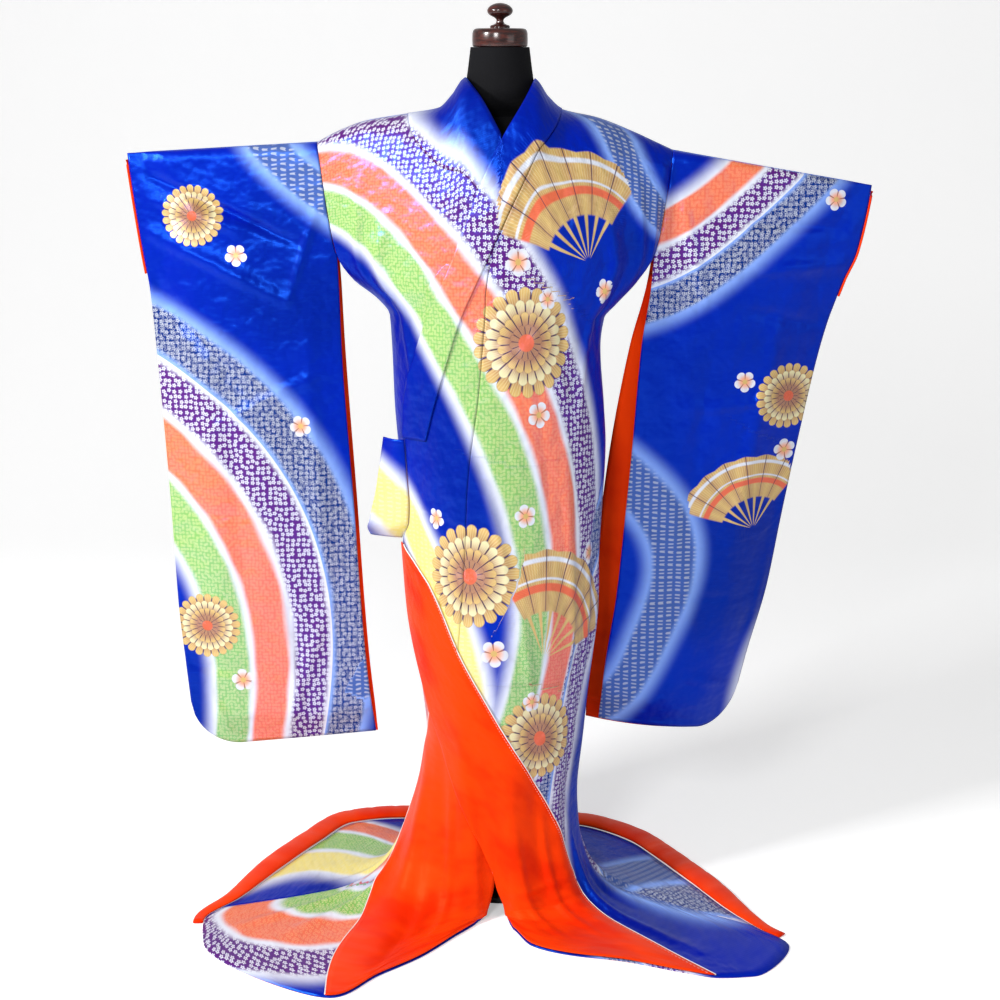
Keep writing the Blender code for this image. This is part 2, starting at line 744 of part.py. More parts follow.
def collar(name, rows, side):
    """Collar band: from the centre back, round the neck and down the front's edge."""
    edge, seam = Curve(rows, "edge"), Curve(rows, "seam")
    first_keys = (angle_of(edge(SHOULDER), SHOULDER), angle_of(seam(SHOULDER), SHOULDER))
    spots = []
    for turn in spread(0.0, NAPE_TURN, NAPE_STEPS):
        across, along = math.sin(math.radians(turn)), math.cos(math.radians(turn))
        line = []
        for share in NAPE_SHARES:
            x = across * (NECK_HALF + (abs(rows[0].seam) - NECK_HALF) * share)
            level = SHOULDER - along * (NAPE_EDGE + (NAPE_SEAM - NAPE_EDGE) * share)
            point, normal = chart(CENTRE_BACK - angle_of(side * x, level), level, BACK)
            key = first_keys[0] + (first_keys[1] - first_keys[0]) * share
            line.append((key, point + normal * COLLAR_LAP, normal))
        spots.append(sorted(line, key=lambda spot: spot[0]))
    for level in levels_between(SHOULDER, COLLAR_END, COLLAR_ROWS):
        line = []
        for angle in lines_between(angle_of(edge(level), level), angle_of(seam(level), level)):
            point, normal = chart(angle, level, FRONT)
            lap = front_layer(angle, level) if side > 0 else 0.0
            line.append((angle, point + normal * (lap + COLLAR_LAP), normal))
        spots.append(line)
    wall(name, spots, COLLAR_CLOTH, BLUE_SATIN)


def turned_edges():
    """The fronts' skirt edges, turned outward so that the lining shows."""
    for name, top, fold_rows, turn_rows, lapped in (
        ("turned_front_left", TURN_TOP, LEFT_FOLD, LEFT_TURN, True),
        ("turned_front_right", UNDER_TURN_TOP, RIGHT_TURN_INNER, RIGHT_TURN, False),
    ):
        fold, turn = Curve(fold_rows, "angle"), Curve(turn_rows, "angle")
        rows = []
        for level in levels_between(top, HEM, TURN_ROWS):
            row = []
            for angle in lines_between(fold(level), turn(level)):
                lap = LAP + FLOOR_LAP * ramp(level, *TURN_FLOOR)
                row.append((angle, level, lap + (front_layer(angle, level) if lapped else 0.0)))
            rows.append(row)
        patch(name, rows, FRONT, RED_LINING)


def hip_fold():
    """The left front's edge, pulled away from the body at the hip."""
    out, back, fold = Curve(HIP_PULL, "out"), Curve(HIP_PULL, "back"), Curve(LEFT_FOLD, "angle")
    spots = []
    for level in spread(HIP_PULL[0].level, HIP_PULL[-1].level, HIP_ROWS):
        angle = fold(level)
        root, normal = chart(angle, level, FRONT)
        root += normal * front_layer(angle, level) - Vector((HIP_CLEAR, 0.0, 0.0))
        line = []
        for share in spread(1.0, 0.0, HIP_STEPS):
            swing = Vector((-out(level) * share, back(level) * share * share, 0.0))
            facing = Vector((-HIP_TURN * (1.0 - share), -1.0, 0.0)).normalized()
            line.append((-share, root + swing, facing))
        spots.append(line)
    wall("hip_fold", spots, CLOTH, BLUE_SATIN)


class SleeveShape:
    """Both layers of one sleeve: a flat pouch that hangs from the shoulder."""

    def __init__(self, side_name, rows):
        self.side_name = side_name
        self.side = 1 if side_name == "left" else -1
        self.curves = columns(rows)
        self.ridge_end = ridge_height(self.side * half_width(SHOULDER, self.side))
        self.inner_top = self.ridge_end - SLEEVE_TOP_GAP

    def top(self, across):
        return self.inner_top + (SLEEVE_TOP_OUTER[self.side_name] - self.inner_top) * across

    def bottom(self, across):
        inner, outer = SLEEVE_BOTTOM_INNER[self.side_name], SLEEVE_BOTTOM_OUTER[self.side_name]
        bend = max((across - CORNER_START) / (1.0 - CORNER_START), 0.0)
        corner = SLEEVE_CORNER * (1.0 - math.sqrt(1.0 - bend * bend))
        return inner + (outer - inner) * across + corner

    def inner_edge(self, z, layer):
        """Inner edge: along the armhole it follows the body's side, below it hangs free."""
        if z > OKUMI_TOP:
            return half_width(min(self.side_level(z), SHOULDER), self.side) + ARMHOLE_CLEAR
        return self.curves[layer + "_inner"](z)

    def side_level(self, z):
        """Level of the body's side at a height."""
        return UNDERARM + (z - UNDERARM) * (SHOULDER - UNDERARM) / (self.ridge_end - UNDERARM)

    def gap(self, across, z):
        """Half of the hollow between the layers."""
        if z > OKUMI_TOP:
            armhole = BODY_CURVES["gape"](self.side_level(z))
        else:
            armhole = SLEEVE_FURL + FURL_SWELL * ramp(z, *FURL_HEIGHTS)
        open_gap = armhole + (SLEEVE_POUCH - armhole) * ramp(across, *POUCH_ACROSS)
        side_seam = ramp(across, *SEAM_ACROSS)
        along = (SLEEVE_TOP_OUTER[self.side_name] - z) / WRIST_LENGTH
        if 0.0 < along < 1.0:
            wrist = math.sin(math.pi * along) ** WRIST_ROUND * WRIST_HALF / SLEEVE_POUCH
            side_seam = max(side_seam, wrist)
        bottom = self.bottom(across)
        return SLEEVE_CLOSED + (open_gap - SLEEVE_CLOSED) * side_seam * ramp(z, bottom, bottom + HEM_CLOSE)

    def point(self, layer, across, down):
        z = self.top(across) + (self.bottom(across) - self.top(across)) * down
        inner = self.inner_edge(z, layer)
        outer = self.curves["outer"](z)
        start, middle, end = (self.curves[name](z) for name in ("inner_y", "middle_y", "outer_y"))
        reach = inner + (outer - inner) * across
        root = self.inner_edge(z, "back")
        share = (reach - root) / (outer - root)
        belly = 4.0 * share * (1.0 - share)
        y = start + (end - start) * share + (middle - (start + end) / 2) * belly
        face = -1 if layer == "front" else 1
        opened = (self.gap(across, z) - SLEEVE_CLOSED) * crest(self.top(across) - z)
        y += face * (SLEEVE_CLOSED + opened)
        return Vector((self.side * reach, y, z))

    def normal(self, layer, across, down):
        inward = self.point(layer, max(across - SLEEVE_STEP, 0.0), down)
        outward = self.point(layer, min(across + SLEEVE_STEP, 1.0), down)
        upper = self.point(layer, across, max(down - SLEEVE_STEP, 0.0))
        lower = self.point(layer, across, min(down + SLEEVE_STEP, 1.0))
        normal = (outward - inward).cross(lower - upper).normalized()
        face = -1 if layer == "front" else 1
        faces_out = normal.y * face > 0 or (abs(normal.y) < TOP_FACING and normal.z > 0)
        return normal if faces_out else -normal

    def spots(self, layer, acrosses, downs, out=0.0):
        rows = []
        for down in downs:
            row = []
            for across in acrosses:
                normal = self.normal(layer, across, down)
                row.append((across, self.point(layer, across, down) + normal * out, normal))
            rows.append(row)
        return rows


def sleeve(side_name, rows):
    shape = SleeveShape(side_name, rows)
    for layer in ("front", "back"):
        spots = shape.spots(layer, SLEEVE_ACROSSES, SLEEVE_DOWNS)
        wall("sleeve_%s_%s" % (side_name, layer), spots, CLOTH, BLUE_SATIN)
    cuff(side_name, shape)
    return shape


def sleeve_lining(shape):
    """Lining inside the back layer, along the open inner edge."""
    spots = shape.spots("back", LINING_ACROSSES, LINING_DOWNS, -CLOTH - SEAM)
    wall("sleeve_left_lining", spots, CLOTH, RED_LINING)


def cuff(side_name, shape):
    """Rolled lining edge round the wrist opening."""
    wrist = spread(*WRIST_DOWNS, WRIST_STEPS)
    loop = [shape.point("front", 1.0, down) for down in wrist]
    loop += [shape.point("back", 1.0, down) for down in reversed(wrist)]
    centre = sum(loop, Vector()) / len(loop)
    bm = bmesh.new()
    rings = []
    for i, point in enumerate(loop):
        ahead, behind = loop[(i + 1) % len(loop)], loop[i - 1]
        along = (ahead - behind).normalized()
        outward = Vector((shape.side, 0.0, 0.0))
        outward = (outward - along * outward.dot(along)).normalized()
        aside = along.cross(outward)
        middle = point + outward * (CUFF_RADIUS + SEAM)
        middle.y += (centre.y - point.y) * CUFF_DRAW
        ring = []
        for k in range(CUFF_SIDES):
            turn = math.tau * k / CUFF_SIDES
            offset = outward * math.cos(turn) + aside * math.sin(turn)
            ring.append(bm.verts.new(middle + offset * CUFF_RADIUS))
        rings.append(ring)
    for i, ring in enumerate(rings):
        after = rings[(i + 1) % len(rings)]
        for k in range(CUFF_SIDES):
            beside = (k + 1) % CUFF_SIDES
            bm.faces.new((ring[k], ring[beside], after[beside], after[k]))
    add_object("cuff_" + side_name, bm, RED_LINING)


def hem_roll(name, side):
    """Padded hem along the far edge of the train, from its tip to the centre back."""
    line = lines_between(CENTRE_BACK - side * SIDE, CENTRE_BACK)
    path = [chart(side * (SIDE - LINE_STEP), HEM, FRONT)[0]]
    path += [chart(angle, HEM, BACK)[0] for angle in sorted(line, reverse=side < 0)]
    bm = bmesh.new()
    rings = []
    for i, point in enumerate(path):
        before = path[max(i - 1, 0)]
        after = path[i + 1] if i < len(path) - 1 else Vector((-path[-2].x, path[-2].y, path[-2].z))
        turns = [(b - a).normalized() for a, b in ((before, point), (point, after)) if b != a]
        ways = [way.cross(Vector((0.0, 0.0, 1.0))) * side for way in turns]
        outward = sum(ways, Vector()).normalized()
        outward /= outward.dot(ways[0])
        size = ROLL_TIP + (1.0 - ROLL_TIP) * ramp(i, 0, ROLL_GROWTH)
        middle = point + outward * (ROLL_HALF_WIDTH * size + SEAM)
        if i == len(path) - 1:
            middle.x += side * SEAM / 2
        ring = []
        for k in range(ROLL_SIDES):
            turn = math.tau * k / ROLL_SIDES
            height = (max(math.sin(turn), -ROLL_FLAT) + ROLL_FLAT) * ROLL_HEIGHT * size / (1.0 + ROLL_FLAT)
            aside = outward * math.cos(turn) * ROLL_HALF_WIDTH * size
            ring.append(bm.verts.new((middle.x + aside.x, middle.y + aside.y, height)))
        rings.append(ring)
    for ring, after in zip(rings, rings[1:]):
        for k in range(ROLL_SIDES):
            bm.faces.new((ring[k], ring[(k + 1) % ROLL_SIDES], after[(k + 1) % ROLL_SIDES], after[k]))
    bm.faces.new(rings[0])
    bm.faces.new(rings[-1])
    add_object(name, bm, RED_LINING)


def turned_solid(name, rings, sides, look):
    """Solid through a stack of oval rings."""
    bm = bmesh.new()
    loops = []
    for ring in rings:
        loop = []
        for k in range(sides):
            turn = math.tau * k / sides
            loop.append(bm.verts.new((ring.half_x * math.cos(turn), ring.half_y * math.sin(turn), ring.z)))
        loops.append(loop)
    for loop, above in zip(loops, loops[1:]):
        for k in range(sides):
            bm.faces.new((loop[k], loop[(k + 1) % sides], above[(k + 1) % sides], above[k]))
    bm.faces.new(loops[0])
    bm.faces.new(loops[-1])
    add_object(name, bm, look)


def dress_form():
    turned_solid("stand_base", BASE, BASE_SIDES, BLACK_PAINT)
    foot, top = BASE[-1].z + STAND_GAP, TORSO[0].z - STAND_GAP
    pole = [Ring(foot, POLE_RADIUS, POLE_RADIUS), Ring(top, POLE_RADIUS, POLE_RADIUS)]
    turned_solid("stand_pole", pole, SMALL_SIDES, BLACK_PAINT)
    turned_solid("form_torso", TORSO, TORSO_SIDES, BLACK_JERSEY)
    turned_solid("neck_cap", CAP, BASE_SIDES, DARK_WOOD)
    turned_solid("finial", FINIAL, SMALL_SIDES, DARK_WOOD)


def main():
    for obj in list(bpy.data.objects):
        bpy.data.objects.remove(obj, do_unlink=True)
    dress_form()
    back_panels()
    front_panels()
    collar("collar_left", COLLAR_LEFT, 1)
    collar("collar_right", COLLAR_RIGHT, -1)
    hip_fold()
    turned_edges()
    sleeve("right", SLEEVE_RIGHT)
    sleeve_lining(sleeve("left", SLEEVE_LEFT))
    hem_roll("hem_roll_left", 1)
    hem_roll("hem_roll_right", -1)


main()
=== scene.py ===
import math
from bisect import bisect_right
from collections import namedtuple

import bmesh
import bpy
from bpy.props import FloatProperty, FloatVectorProperty, IntProperty, PointerProperty
from bpy.types import Operator, Panel, PropertyGroup
from mathutils import Matrix, Vector, noise


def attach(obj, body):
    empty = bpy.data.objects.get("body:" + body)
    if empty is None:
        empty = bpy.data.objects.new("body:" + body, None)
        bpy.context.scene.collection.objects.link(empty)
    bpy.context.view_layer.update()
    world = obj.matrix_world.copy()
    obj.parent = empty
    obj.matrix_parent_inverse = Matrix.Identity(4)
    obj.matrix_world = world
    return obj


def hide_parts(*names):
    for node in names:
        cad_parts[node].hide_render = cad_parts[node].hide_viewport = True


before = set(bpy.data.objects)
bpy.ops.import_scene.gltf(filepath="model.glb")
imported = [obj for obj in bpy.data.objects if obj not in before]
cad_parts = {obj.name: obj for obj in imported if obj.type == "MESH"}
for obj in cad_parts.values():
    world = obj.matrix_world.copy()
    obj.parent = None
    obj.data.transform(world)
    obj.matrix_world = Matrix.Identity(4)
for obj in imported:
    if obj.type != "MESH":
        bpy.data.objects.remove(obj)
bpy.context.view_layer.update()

bl_info = {
    "name": "Wedding Kimono on a Dress Form",
    "version": (1, 0, 0),
    "blender": (4, 5, 0),
    "location": "View3D > Sidebar > Kimono",
    "description": "A long-sleeved bridal kimono with a padded hem, closed on a black dress form",
    "category": "Object",
}

# Sizes of the cloth, in metres, from the same tables as the solids

SHOULDER = 1.42
UNDERARM = 1.14
ANKLE = 0.30
HEM = -0.20
COLLAR_END = 0.85
OKUMI_TOP = 1.15
OKUMI_END = 0.29
TURN_TOP = 0.655
UNDER_TURN_TOP = 0.43

SEAM = 0.0005
LAP = 0.0034
FLOOR_LAP = 0.0018
FRONT_LAP = 0.0080
COLLAR_LAP = 0.0032
LAP_SIDE = (89.0, 70.0)
LAP_TOP = (1.42, 1.36)
LAP_FLOOR = (-0.02, 0.07)
TURN_FLOOR = (0.13, 0.05)

NAPE_EDGE = 0.045
NAPE_SEAM = 0.090
NECK_HALF = 0.0555
NAPE_KEEP = 1.10
NAPE_CLEAR = 0.007
NAPE_SHARE = 0.18
ARMHOLE_CLEAR = 0.0008
SHOULDER_POWER = 2.2
CREST = 0.018
FLARE = 1.17
FLARE_TILT = 0.20

Body = namedtuple("Body", "level right left front back pinch gape")
BODY = [
    Body(1.42, 0.300, 0.284, 0.106, 0.104, 2.6, 0.018),
    Body(1.25, 0.285, 0.270, 0.109, 0.104, 2.6, 0.018),
    Body(1.15, 0.271, 0.256, 0.111, 0.105, 2.3, 0.016),
    Body(1.11, 0.246, 0.231, 0.113, 0.106, 1.7, 0.010),
    Body(1.075, 0.204, 0.197, 0.115, 0.108, 1.25, 0.004),
    Body(1.05, 0.186, 0.174, 0.117, 0.110, 1.05, 0.001),
    Body(1.00, 0.183, 0.167, 0.119, 0.112, 1.0, 0.0),
    Body(0.90, 0.180, 0.174, 0.123, 0.115, 1.0, 0.0),
    Body(0.83, 0.175, 0.178, 0.125, 0.117, 1.0, 0.0),
    Body(0.72, 0.168, 0.174, 0.128, 0.118, 1.0, 0.0),
    Body(0.64, 0.161, 0.171, 0.130, 0.119, 1.0, 0.0),
    Body(0.54, 0.154, 0.168, 0.131, 0.120, 1.0, 0.0),
    Body(0.46, 0.146, 0.159, 0.132, 0.121, 1.0, 0.0),
    Body(0.38, 0.138, 0.149, 0.132, 0.122, 1.0, 0.0),
    Body(0.30, 0.131, 0.141, 0.133, 0.123, 1.0, 0.0),
    Body(0.20, 0.131, 0.129, 0.133, 0.123, 1.0, 0.0),
    Body(0.12, 0.131, 0.124, 0.133, 0.123, 1.0, 0.0),
]

Ridge = namedtuple("Ridge", "away right left")
RIDGE = [
    Ridge(0.000, 1.446, 1.444),
    Ridge(0.0555, 1.436, 1.434),
    Ridge(0.075, 1.410, 1.408),
    Ridge(0.100, 1.387, 1.387),
    Ridge(0.160, 1.378, 1.373),
    Ridge(0.220, 1.368, 1.350),
    Ridge(0.260, 1.354, 1.332),
    Ridge(0.300, 1.334, 1.314),
]

Descent = namedtuple("Descent", "step run height")
DESCENT = [
    Descent(0.00, 0.00, 0.300),
    Descent(0.15, 0.02, 0.225),
    Descent(0.30, 0.07, 0.150),
    Descent(0.42, 0.13, 0.090),
    Descent(0.52, 0.21, 0.045),
    Descent(0.62, 0.33, 0.016),
    Descent(0.72, 0.48, 0.004),
    Descent(0.85, 0.73, 0.001),
    Descent(1.00, 1.00, 0.001),
]

Hem = namedtuple("Hem", "angle x y")
HEM_LINE = [
    Hem(-180, 0.000, 0.235),
    Hem(-150, -0.199, 0.246),
    Hem(-135, -0.290, 0.226),
    Hem(-122, -0.345, 0.145),
    Hem(-108, -0.407, 0.034),
    Hem(-95, -0.466, -0.078),
    Hem(-84, -0.520, -0.160),
    Hem(-72, -0.508, -0.242),
    Hem(-58, -0.412, -0.347),
    Hem(-45, -0.275, -0.414),
    Hem(-32, -0.200, -0.345),
    Hem(-20, -0.135, -0.288),
    Hem(-10, -0.066, -0.205),
    Hem(-3, -0.020, -0.160),
    Hem(3, 0.018, -0.185),
    Hem(12, 0.054, -0.248),
    Hem(22, 0.110, -0.277),
    Hem(38, 0.215, -0.303),
    Hem(52, 0.310, -0.338),
    Hem(60, 0.363, -0.353),
    Hem(68, 0.422, -0.348),
    Hem(78, 0.494, -0.252),
    Hem(88, 0.450, -0.192),
    Hem(100, 0.403, -0.125),
    Hem(115, 0.342, -0.012),
    Hem(130, 0.290, 0.082),
    Hem(145, 0.246, 0.150),
    Hem(160, 0.150, 0.215),
    Hem(180, 0.000, 0.235),
]

Collar = namedtuple("Collar", "level edge seam")
COLLAR_LEFT = [
    Collar(1.42, 0.0555, 0.100),
    Collar(1.385, 0.038, 0.088),
    Collar(1.33, 0.004, 0.064),
    Collar(1.28, -0.022, 0.042),
    Collar(1.22, -0.049, 0.012),
    Collar(1.15, -0.077, -0.021),
    Collar(1.06, -0.114, -0.060),
    Collar(0.96, -0.144, -0.091),
    Collar(0.90, -0.156, -0.108),
    Collar(0.85, -0.157, -0.120),
]
COLLAR_RIGHT = [
    Collar(1.42, -0.0555, -0.150),
    Collar(1.385, -0.028, -0.142),
    Collar(1.33, 0.003, -0.104),
    Collar(1.28, 0.026, -0.054),
    Collar(1.22, 0.052, -0.008),
    Collar(1.15, 0.080, 0.022),
    Collar(1.06, 0.105, 0.050),
    Collar(0.96, 0.120, 0.068),
    Collar(0.85, 0.130, 0.078),
]

Line = namedtuple("Line", "level angle")
OKUMI_SEAM = [
    Line(1.15, -3),
    Line(1.06, -7),
    Line(0.925, -11),
    Line(0.796, -17),
    Line(0.67, -20),
    Line(0.55, -24),
    Line(0.42, -31),
    Line(0.29, -39),
]
LEFT_FOLD = [
    Line(1.15, -18),
    Line(1.06, -38),
    Line(0.96, -52),
    Line(0.85, -61),
    Line(0.75, -61),
    Line(0.70, -64),
    Line(0.65, -82),
    Line(0.60, -84),
    Line(0.53, -80),
    Line(0.474, -73),
    Line(0.42, -65),
    Line(0.355, -57),
    Line(0.30, -47),
    Line(0.25, -37),
    Line(0.20, -26),
    Line(0.15, -16),
    Line(0.10, -8),
    Line(0.05, -1),
    Line(0.00, 3),
    Line(-0.20, 4),
]
LEFT_TURN = [
    Line(0.655, -74),
    Line(0.60, -46),
    Line(0.474, -24),
    Line(0.40, -9),
    Line(0.329, 6),
    Line(0.26, 22),
    Line(0.195, 37),
    Line(0.13, 48),
    Line(0.06, 54),
    Line(-0.02, 58),
    Line(-0.20, 59),
]
RIGHT_FOLD = [
    Line(0.85, 26),
    Line(0.75, 45),
    Line(0.67, 62),
    Line(0.60, 68),
    Line(0.474, 60),
    Line(0.355, 44),
    Line(0.25, 28),
    Line(0.20, 18),
    Line(0.15, 8),
    Line(0.10, -1),
    Line(0.05, -4),
    Line(-0.02, -7),
    Line(-0.20, -7),
]
RIGHT_TURN = [
    Line(0.43, -44),
    Line(0.37, -60),
    Line(0.32, -72),
    Line(0.27, -81),
    Line(0.20, -86),
    Line(0.13, -86),
    Line(0.08, -80),
    Line(0.03, -72),
    Line(-0.04, -60),
    Line(-0.20, -46),
]
RIGHT_TURN_INNER = [
    Line(0.43, 6),
    Line(0.30, 10),
    Line(0.20, 7),
    Line(0.15, 4),
    Line(0.10, -1),
    Line(0.05, -4),
    Line(-0.02, -7),
    Line(-0.20, -7),
]

# Folds: the large ones of the solids, then finer creases that only the cloth has
Fold = namedtuple("Fold", "top top_angle bottom bottom_angle spread depth")
FOLDS = [
    Fold(0.40, -30, -0.16, -16, 7.0, 0.006),
    Fold(0.34, -52, -0.16, -31, 7.0, -0.006),
    Fold(0.28, -70, -0.18, -44, 6.0, 0.009),
    Fold(0.30, 4, -0.18, 18, 6.0, 0.007),
    Fold(0.42, 20, -0.18, 34, 6.5, -0.005),
    Fold(0.30, 42, -0.18, 52, 6.0, 0.007),
    Fold(0.90, 62, 0.12, 66, 8.0, -0.005),
    Fold(0.62, 78, 0.05, 76, 6.0, 0.005),
    Fold(0.95, -40, 0.55, -66, 9.0, -0.004),
    Fold(0.60, 112, -0.16, 106, 8.0, 0.009),
    Fold(0.85, 138, -0.18, 134, 8.0, -0.006),
    Fold(0.62, 162, -0.18, 164, 8.0, 0.008),
    Fold(0.80, 196, -0.18, 198, 8.0, 0.007),
    Fold(0.62, 222, -0.18, 226, 8.0, -0.006),
    Fold(0.58, 248, -0.16, 252, 8.0, 0.009),
    Fold(1.30, 128, 0.98, 122, 9.0, 0.004),
    Fold(1.30, 232, 0.98, 238, 9.0, 0.004),
]
CREASES = [
    Fold(1.26, 38, 1.02, 56, 3.2, 0.0070),
    Fold(1.20, 50, 0.98, 68, 2.6, -0.0030),
    Fold(1.16, 26, 0.90, 44, 3.0, -0.0020),
    Fold(1.25, -40, 1.03, -58, 3.2, 0.0064),
    Fold(1.19, -52, 1.00, -70, 2.6, -0.0026),
    Fold(0.98, 20, 0.62, 30, 3.0, -0.0022),
    Fold(0.86, 36, 0.44, 47, 3.4, 0.0056),
    Fold(0.78, -8, 0.60, 6, 2.4, 0.0036),
    Fold(0.52, 48, 0.14, 60, 2.6, -0.0042),
    Fold(0.26, -22, -0.14, -8, 2.6, 0.0060),
    Fold(0.24, -40, -0.12, -25, 2.4, 0.0052),
    Fold(0.20, -60, -0.14, -38, 2.6, -0.0051),
    Fold(0.16, 12, -0.15, 27, 2.4, 0.0060),
    Fold(0.20, 30, -0.12, 42, 2.2, 0.0052),
    Fold(0.14, 62, -0.16, 68, 2.2, 0.0070),
    Fold(0.10, 72, -0.15, 76, 2.0, -0.0048),
    Fold(0.12, -76, -0.16, -64, 2.4, 0.0070),
    Fold(0.06, -84, -0.17, -76, 2.0, 0.0060),
    Fold(1.22, 112, 0.92, 118, 3.0, 0.0064),
    Fold(1.10, 150, 0.70, 146, 3.4, -0.0024),
    Fold(0.72, 124, 0.20, 121, 3.0, 0.0060),
    Fold(0.44, 148, -0.10, 150, 3.0, -0.0056),
    Fold(1.24, 246, 0.94, 240, 3.0, 0.0060),
    Fold(1.04, 208, 0.66, 212, 3.2, -0.0022),
    Fold(0.66, 236, 0.16, 239, 3.0, 0.0064),
    Fold(0.40, 210, -0.12, 212, 3.0, -0.0056),
    Fold(0.20, 100, -0.15, 97, 2.6, 0.0060),
    Fold(0.22, 262, -0.15, 264, 2.6, 0.0060),
    Fold(1.34, 52, 1.10, 66, 3.0, 0.0055),
    Fold(1.32, 66, 1.12, 76, 2.6, 0.0045),
    Fold(1.34, -50, 1.10, -64, 3.0, 0.0050),
    Fold(1.10, 60, 0.86, 44, 3.0, 0.0040),
    Fold(1.08, -62, 0.90, -48, 3.0, 0.0045),
    Fold(0.70, 58, 0.34, 66, 3.0, 0.0050),
    Fold(0.60, 10, 0.36, 22, 2.8, 0.0035),
]
FOLD_REACH = 3.0
FOLD_FADE = 0.7

# Creases across the cloth, where it lay folded, from one place to another
Press = namedtuple("Press", "start start_angle end end_angle width depth")
PRESSES = [
    Press(0.735, -58, 0.690, -2, 0.006, -0.0037),
    Press(0.300, -6, 0.330, 40, 0.008, 0.0027),
    Press(0.045, 8, 0.065, 56, 0.007, 0.0041),
    Press(-0.010, 6, 0.015, 58, 0.006, -0.0034),
    Press(0.500, 4, 0.515, 78, 0.007, -0.0020),
    Press(1.020, 8, 1.005, 64, 0.007, 0.0020),
    Press(0.900, 100, 0.905, 260, 0.007, -0.0024),
    Press(0.520, 96, 0.515, 264, 0.007, 0.0024),
]

# Sleeves

Sleeve = namedtuple("Sleeve", "height front_inner back_inner outer inner_y middle_y outer_y")
SLEEVE_RIGHT = [
    Sleeve(1.34, 0.286, 0.286, 0.618, 0.000, 0.000, 0.000),
    Sleeve(1.15, 0.2715, 0.2715, 0.596, 0.000, -0.006, 0.000),
    Sleeve(1.10, 0.2700, 0.2680, 0.590, 0.000, -0.008, 0.000),
    Sleeve(0.99, 0.2680, 0.2640, 0.583, 0.000, -0.012, -0.002),
    Sleeve(0.72, 0.2530, 0.2490, 0.571, -0.004, -0.018, -0.006),
    Sleeve(0.54, 0.2440, 0.2400, 0.566, -0.006, -0.016, -0.010),
    Sleeve(0.43, 0.2370, 0.2330, 0.558, -0.006, -0.014, -0.012),
    Sleeve(0.27, 0.2200, 0.2170, 0.545, -0.006, -0.012, -0.016),
]
SLEEVE_LEFT = [
    Sleeve(1.33, 0.272, 0.272, 0.632, 0.000, 0.000, 0.022),
    Sleeve(1.15, 0.2565, 0.2565, 0.602, 0.000, 0.002, 0.030),
    Sleeve(1.10, 0.2540, 0.2490, 0.583, 0.002, 0.006, 0.036),
    Sleeve(0.99, 0.2400, 0.2220, 0.554, 0.010, 0.014, 0.050),
    Sleeve(0.81, 0.2290, 0.1930, 0.524, 0.030, 0.026, 0.070),
    Sleeve(0.67, 0.2190, 0.1780, 0.503, 0.044, 0.034, 0.082),
    Sleeve(0.54, 0.2080, 0.1680, 0.484, 0.050, 0.040, 0.090),
    Sleeve(0.40, 0.1890, 0.1600, 0.451, 0.052, 0.042, 0.096),
    Sleeve(0.25, 0.1760, 0.1560, 0.420, 0.052, 0.042, 0.098),
]
SLEEVE_TOP_OUTER = {"right": 1.316, "left": 1.262}
SLEEVE_BOTTOM_INNER = {"right": 0.296, "left": 0.300}
SLEEVE_BOTTOM_OUTER = {"right": 0.270, "left": 0.266}
SLEEVE_TOP_GAP = 0.0002
SLEEVE_CORNER = 0.085
CORNER_START = 0.74
SLEEVE_CLOSED = 0.0015
SLEEVE_POUCH = 0.013
SLEEVE_FURL = 0.012
FURL_SWELL = 0.005
FURL_HEIGHTS = (1.05, 1.15)
POUCH_ACROSS = (0.0, 0.35)
SEAM_ACROSS = (1.0, 0.72)
HEM_CLOSE = 0.06
WRIST_LENGTH = 0.22
WRIST_HALF = 0.007
WRIST_ROUND = 0.6
WRIST_DOWNS = (0.012, 0.205)
CUFF_RADIUS = 0.0020
LINING_WIDTH = 0.26
LINING_DOWNS = (0.20, 0.97)

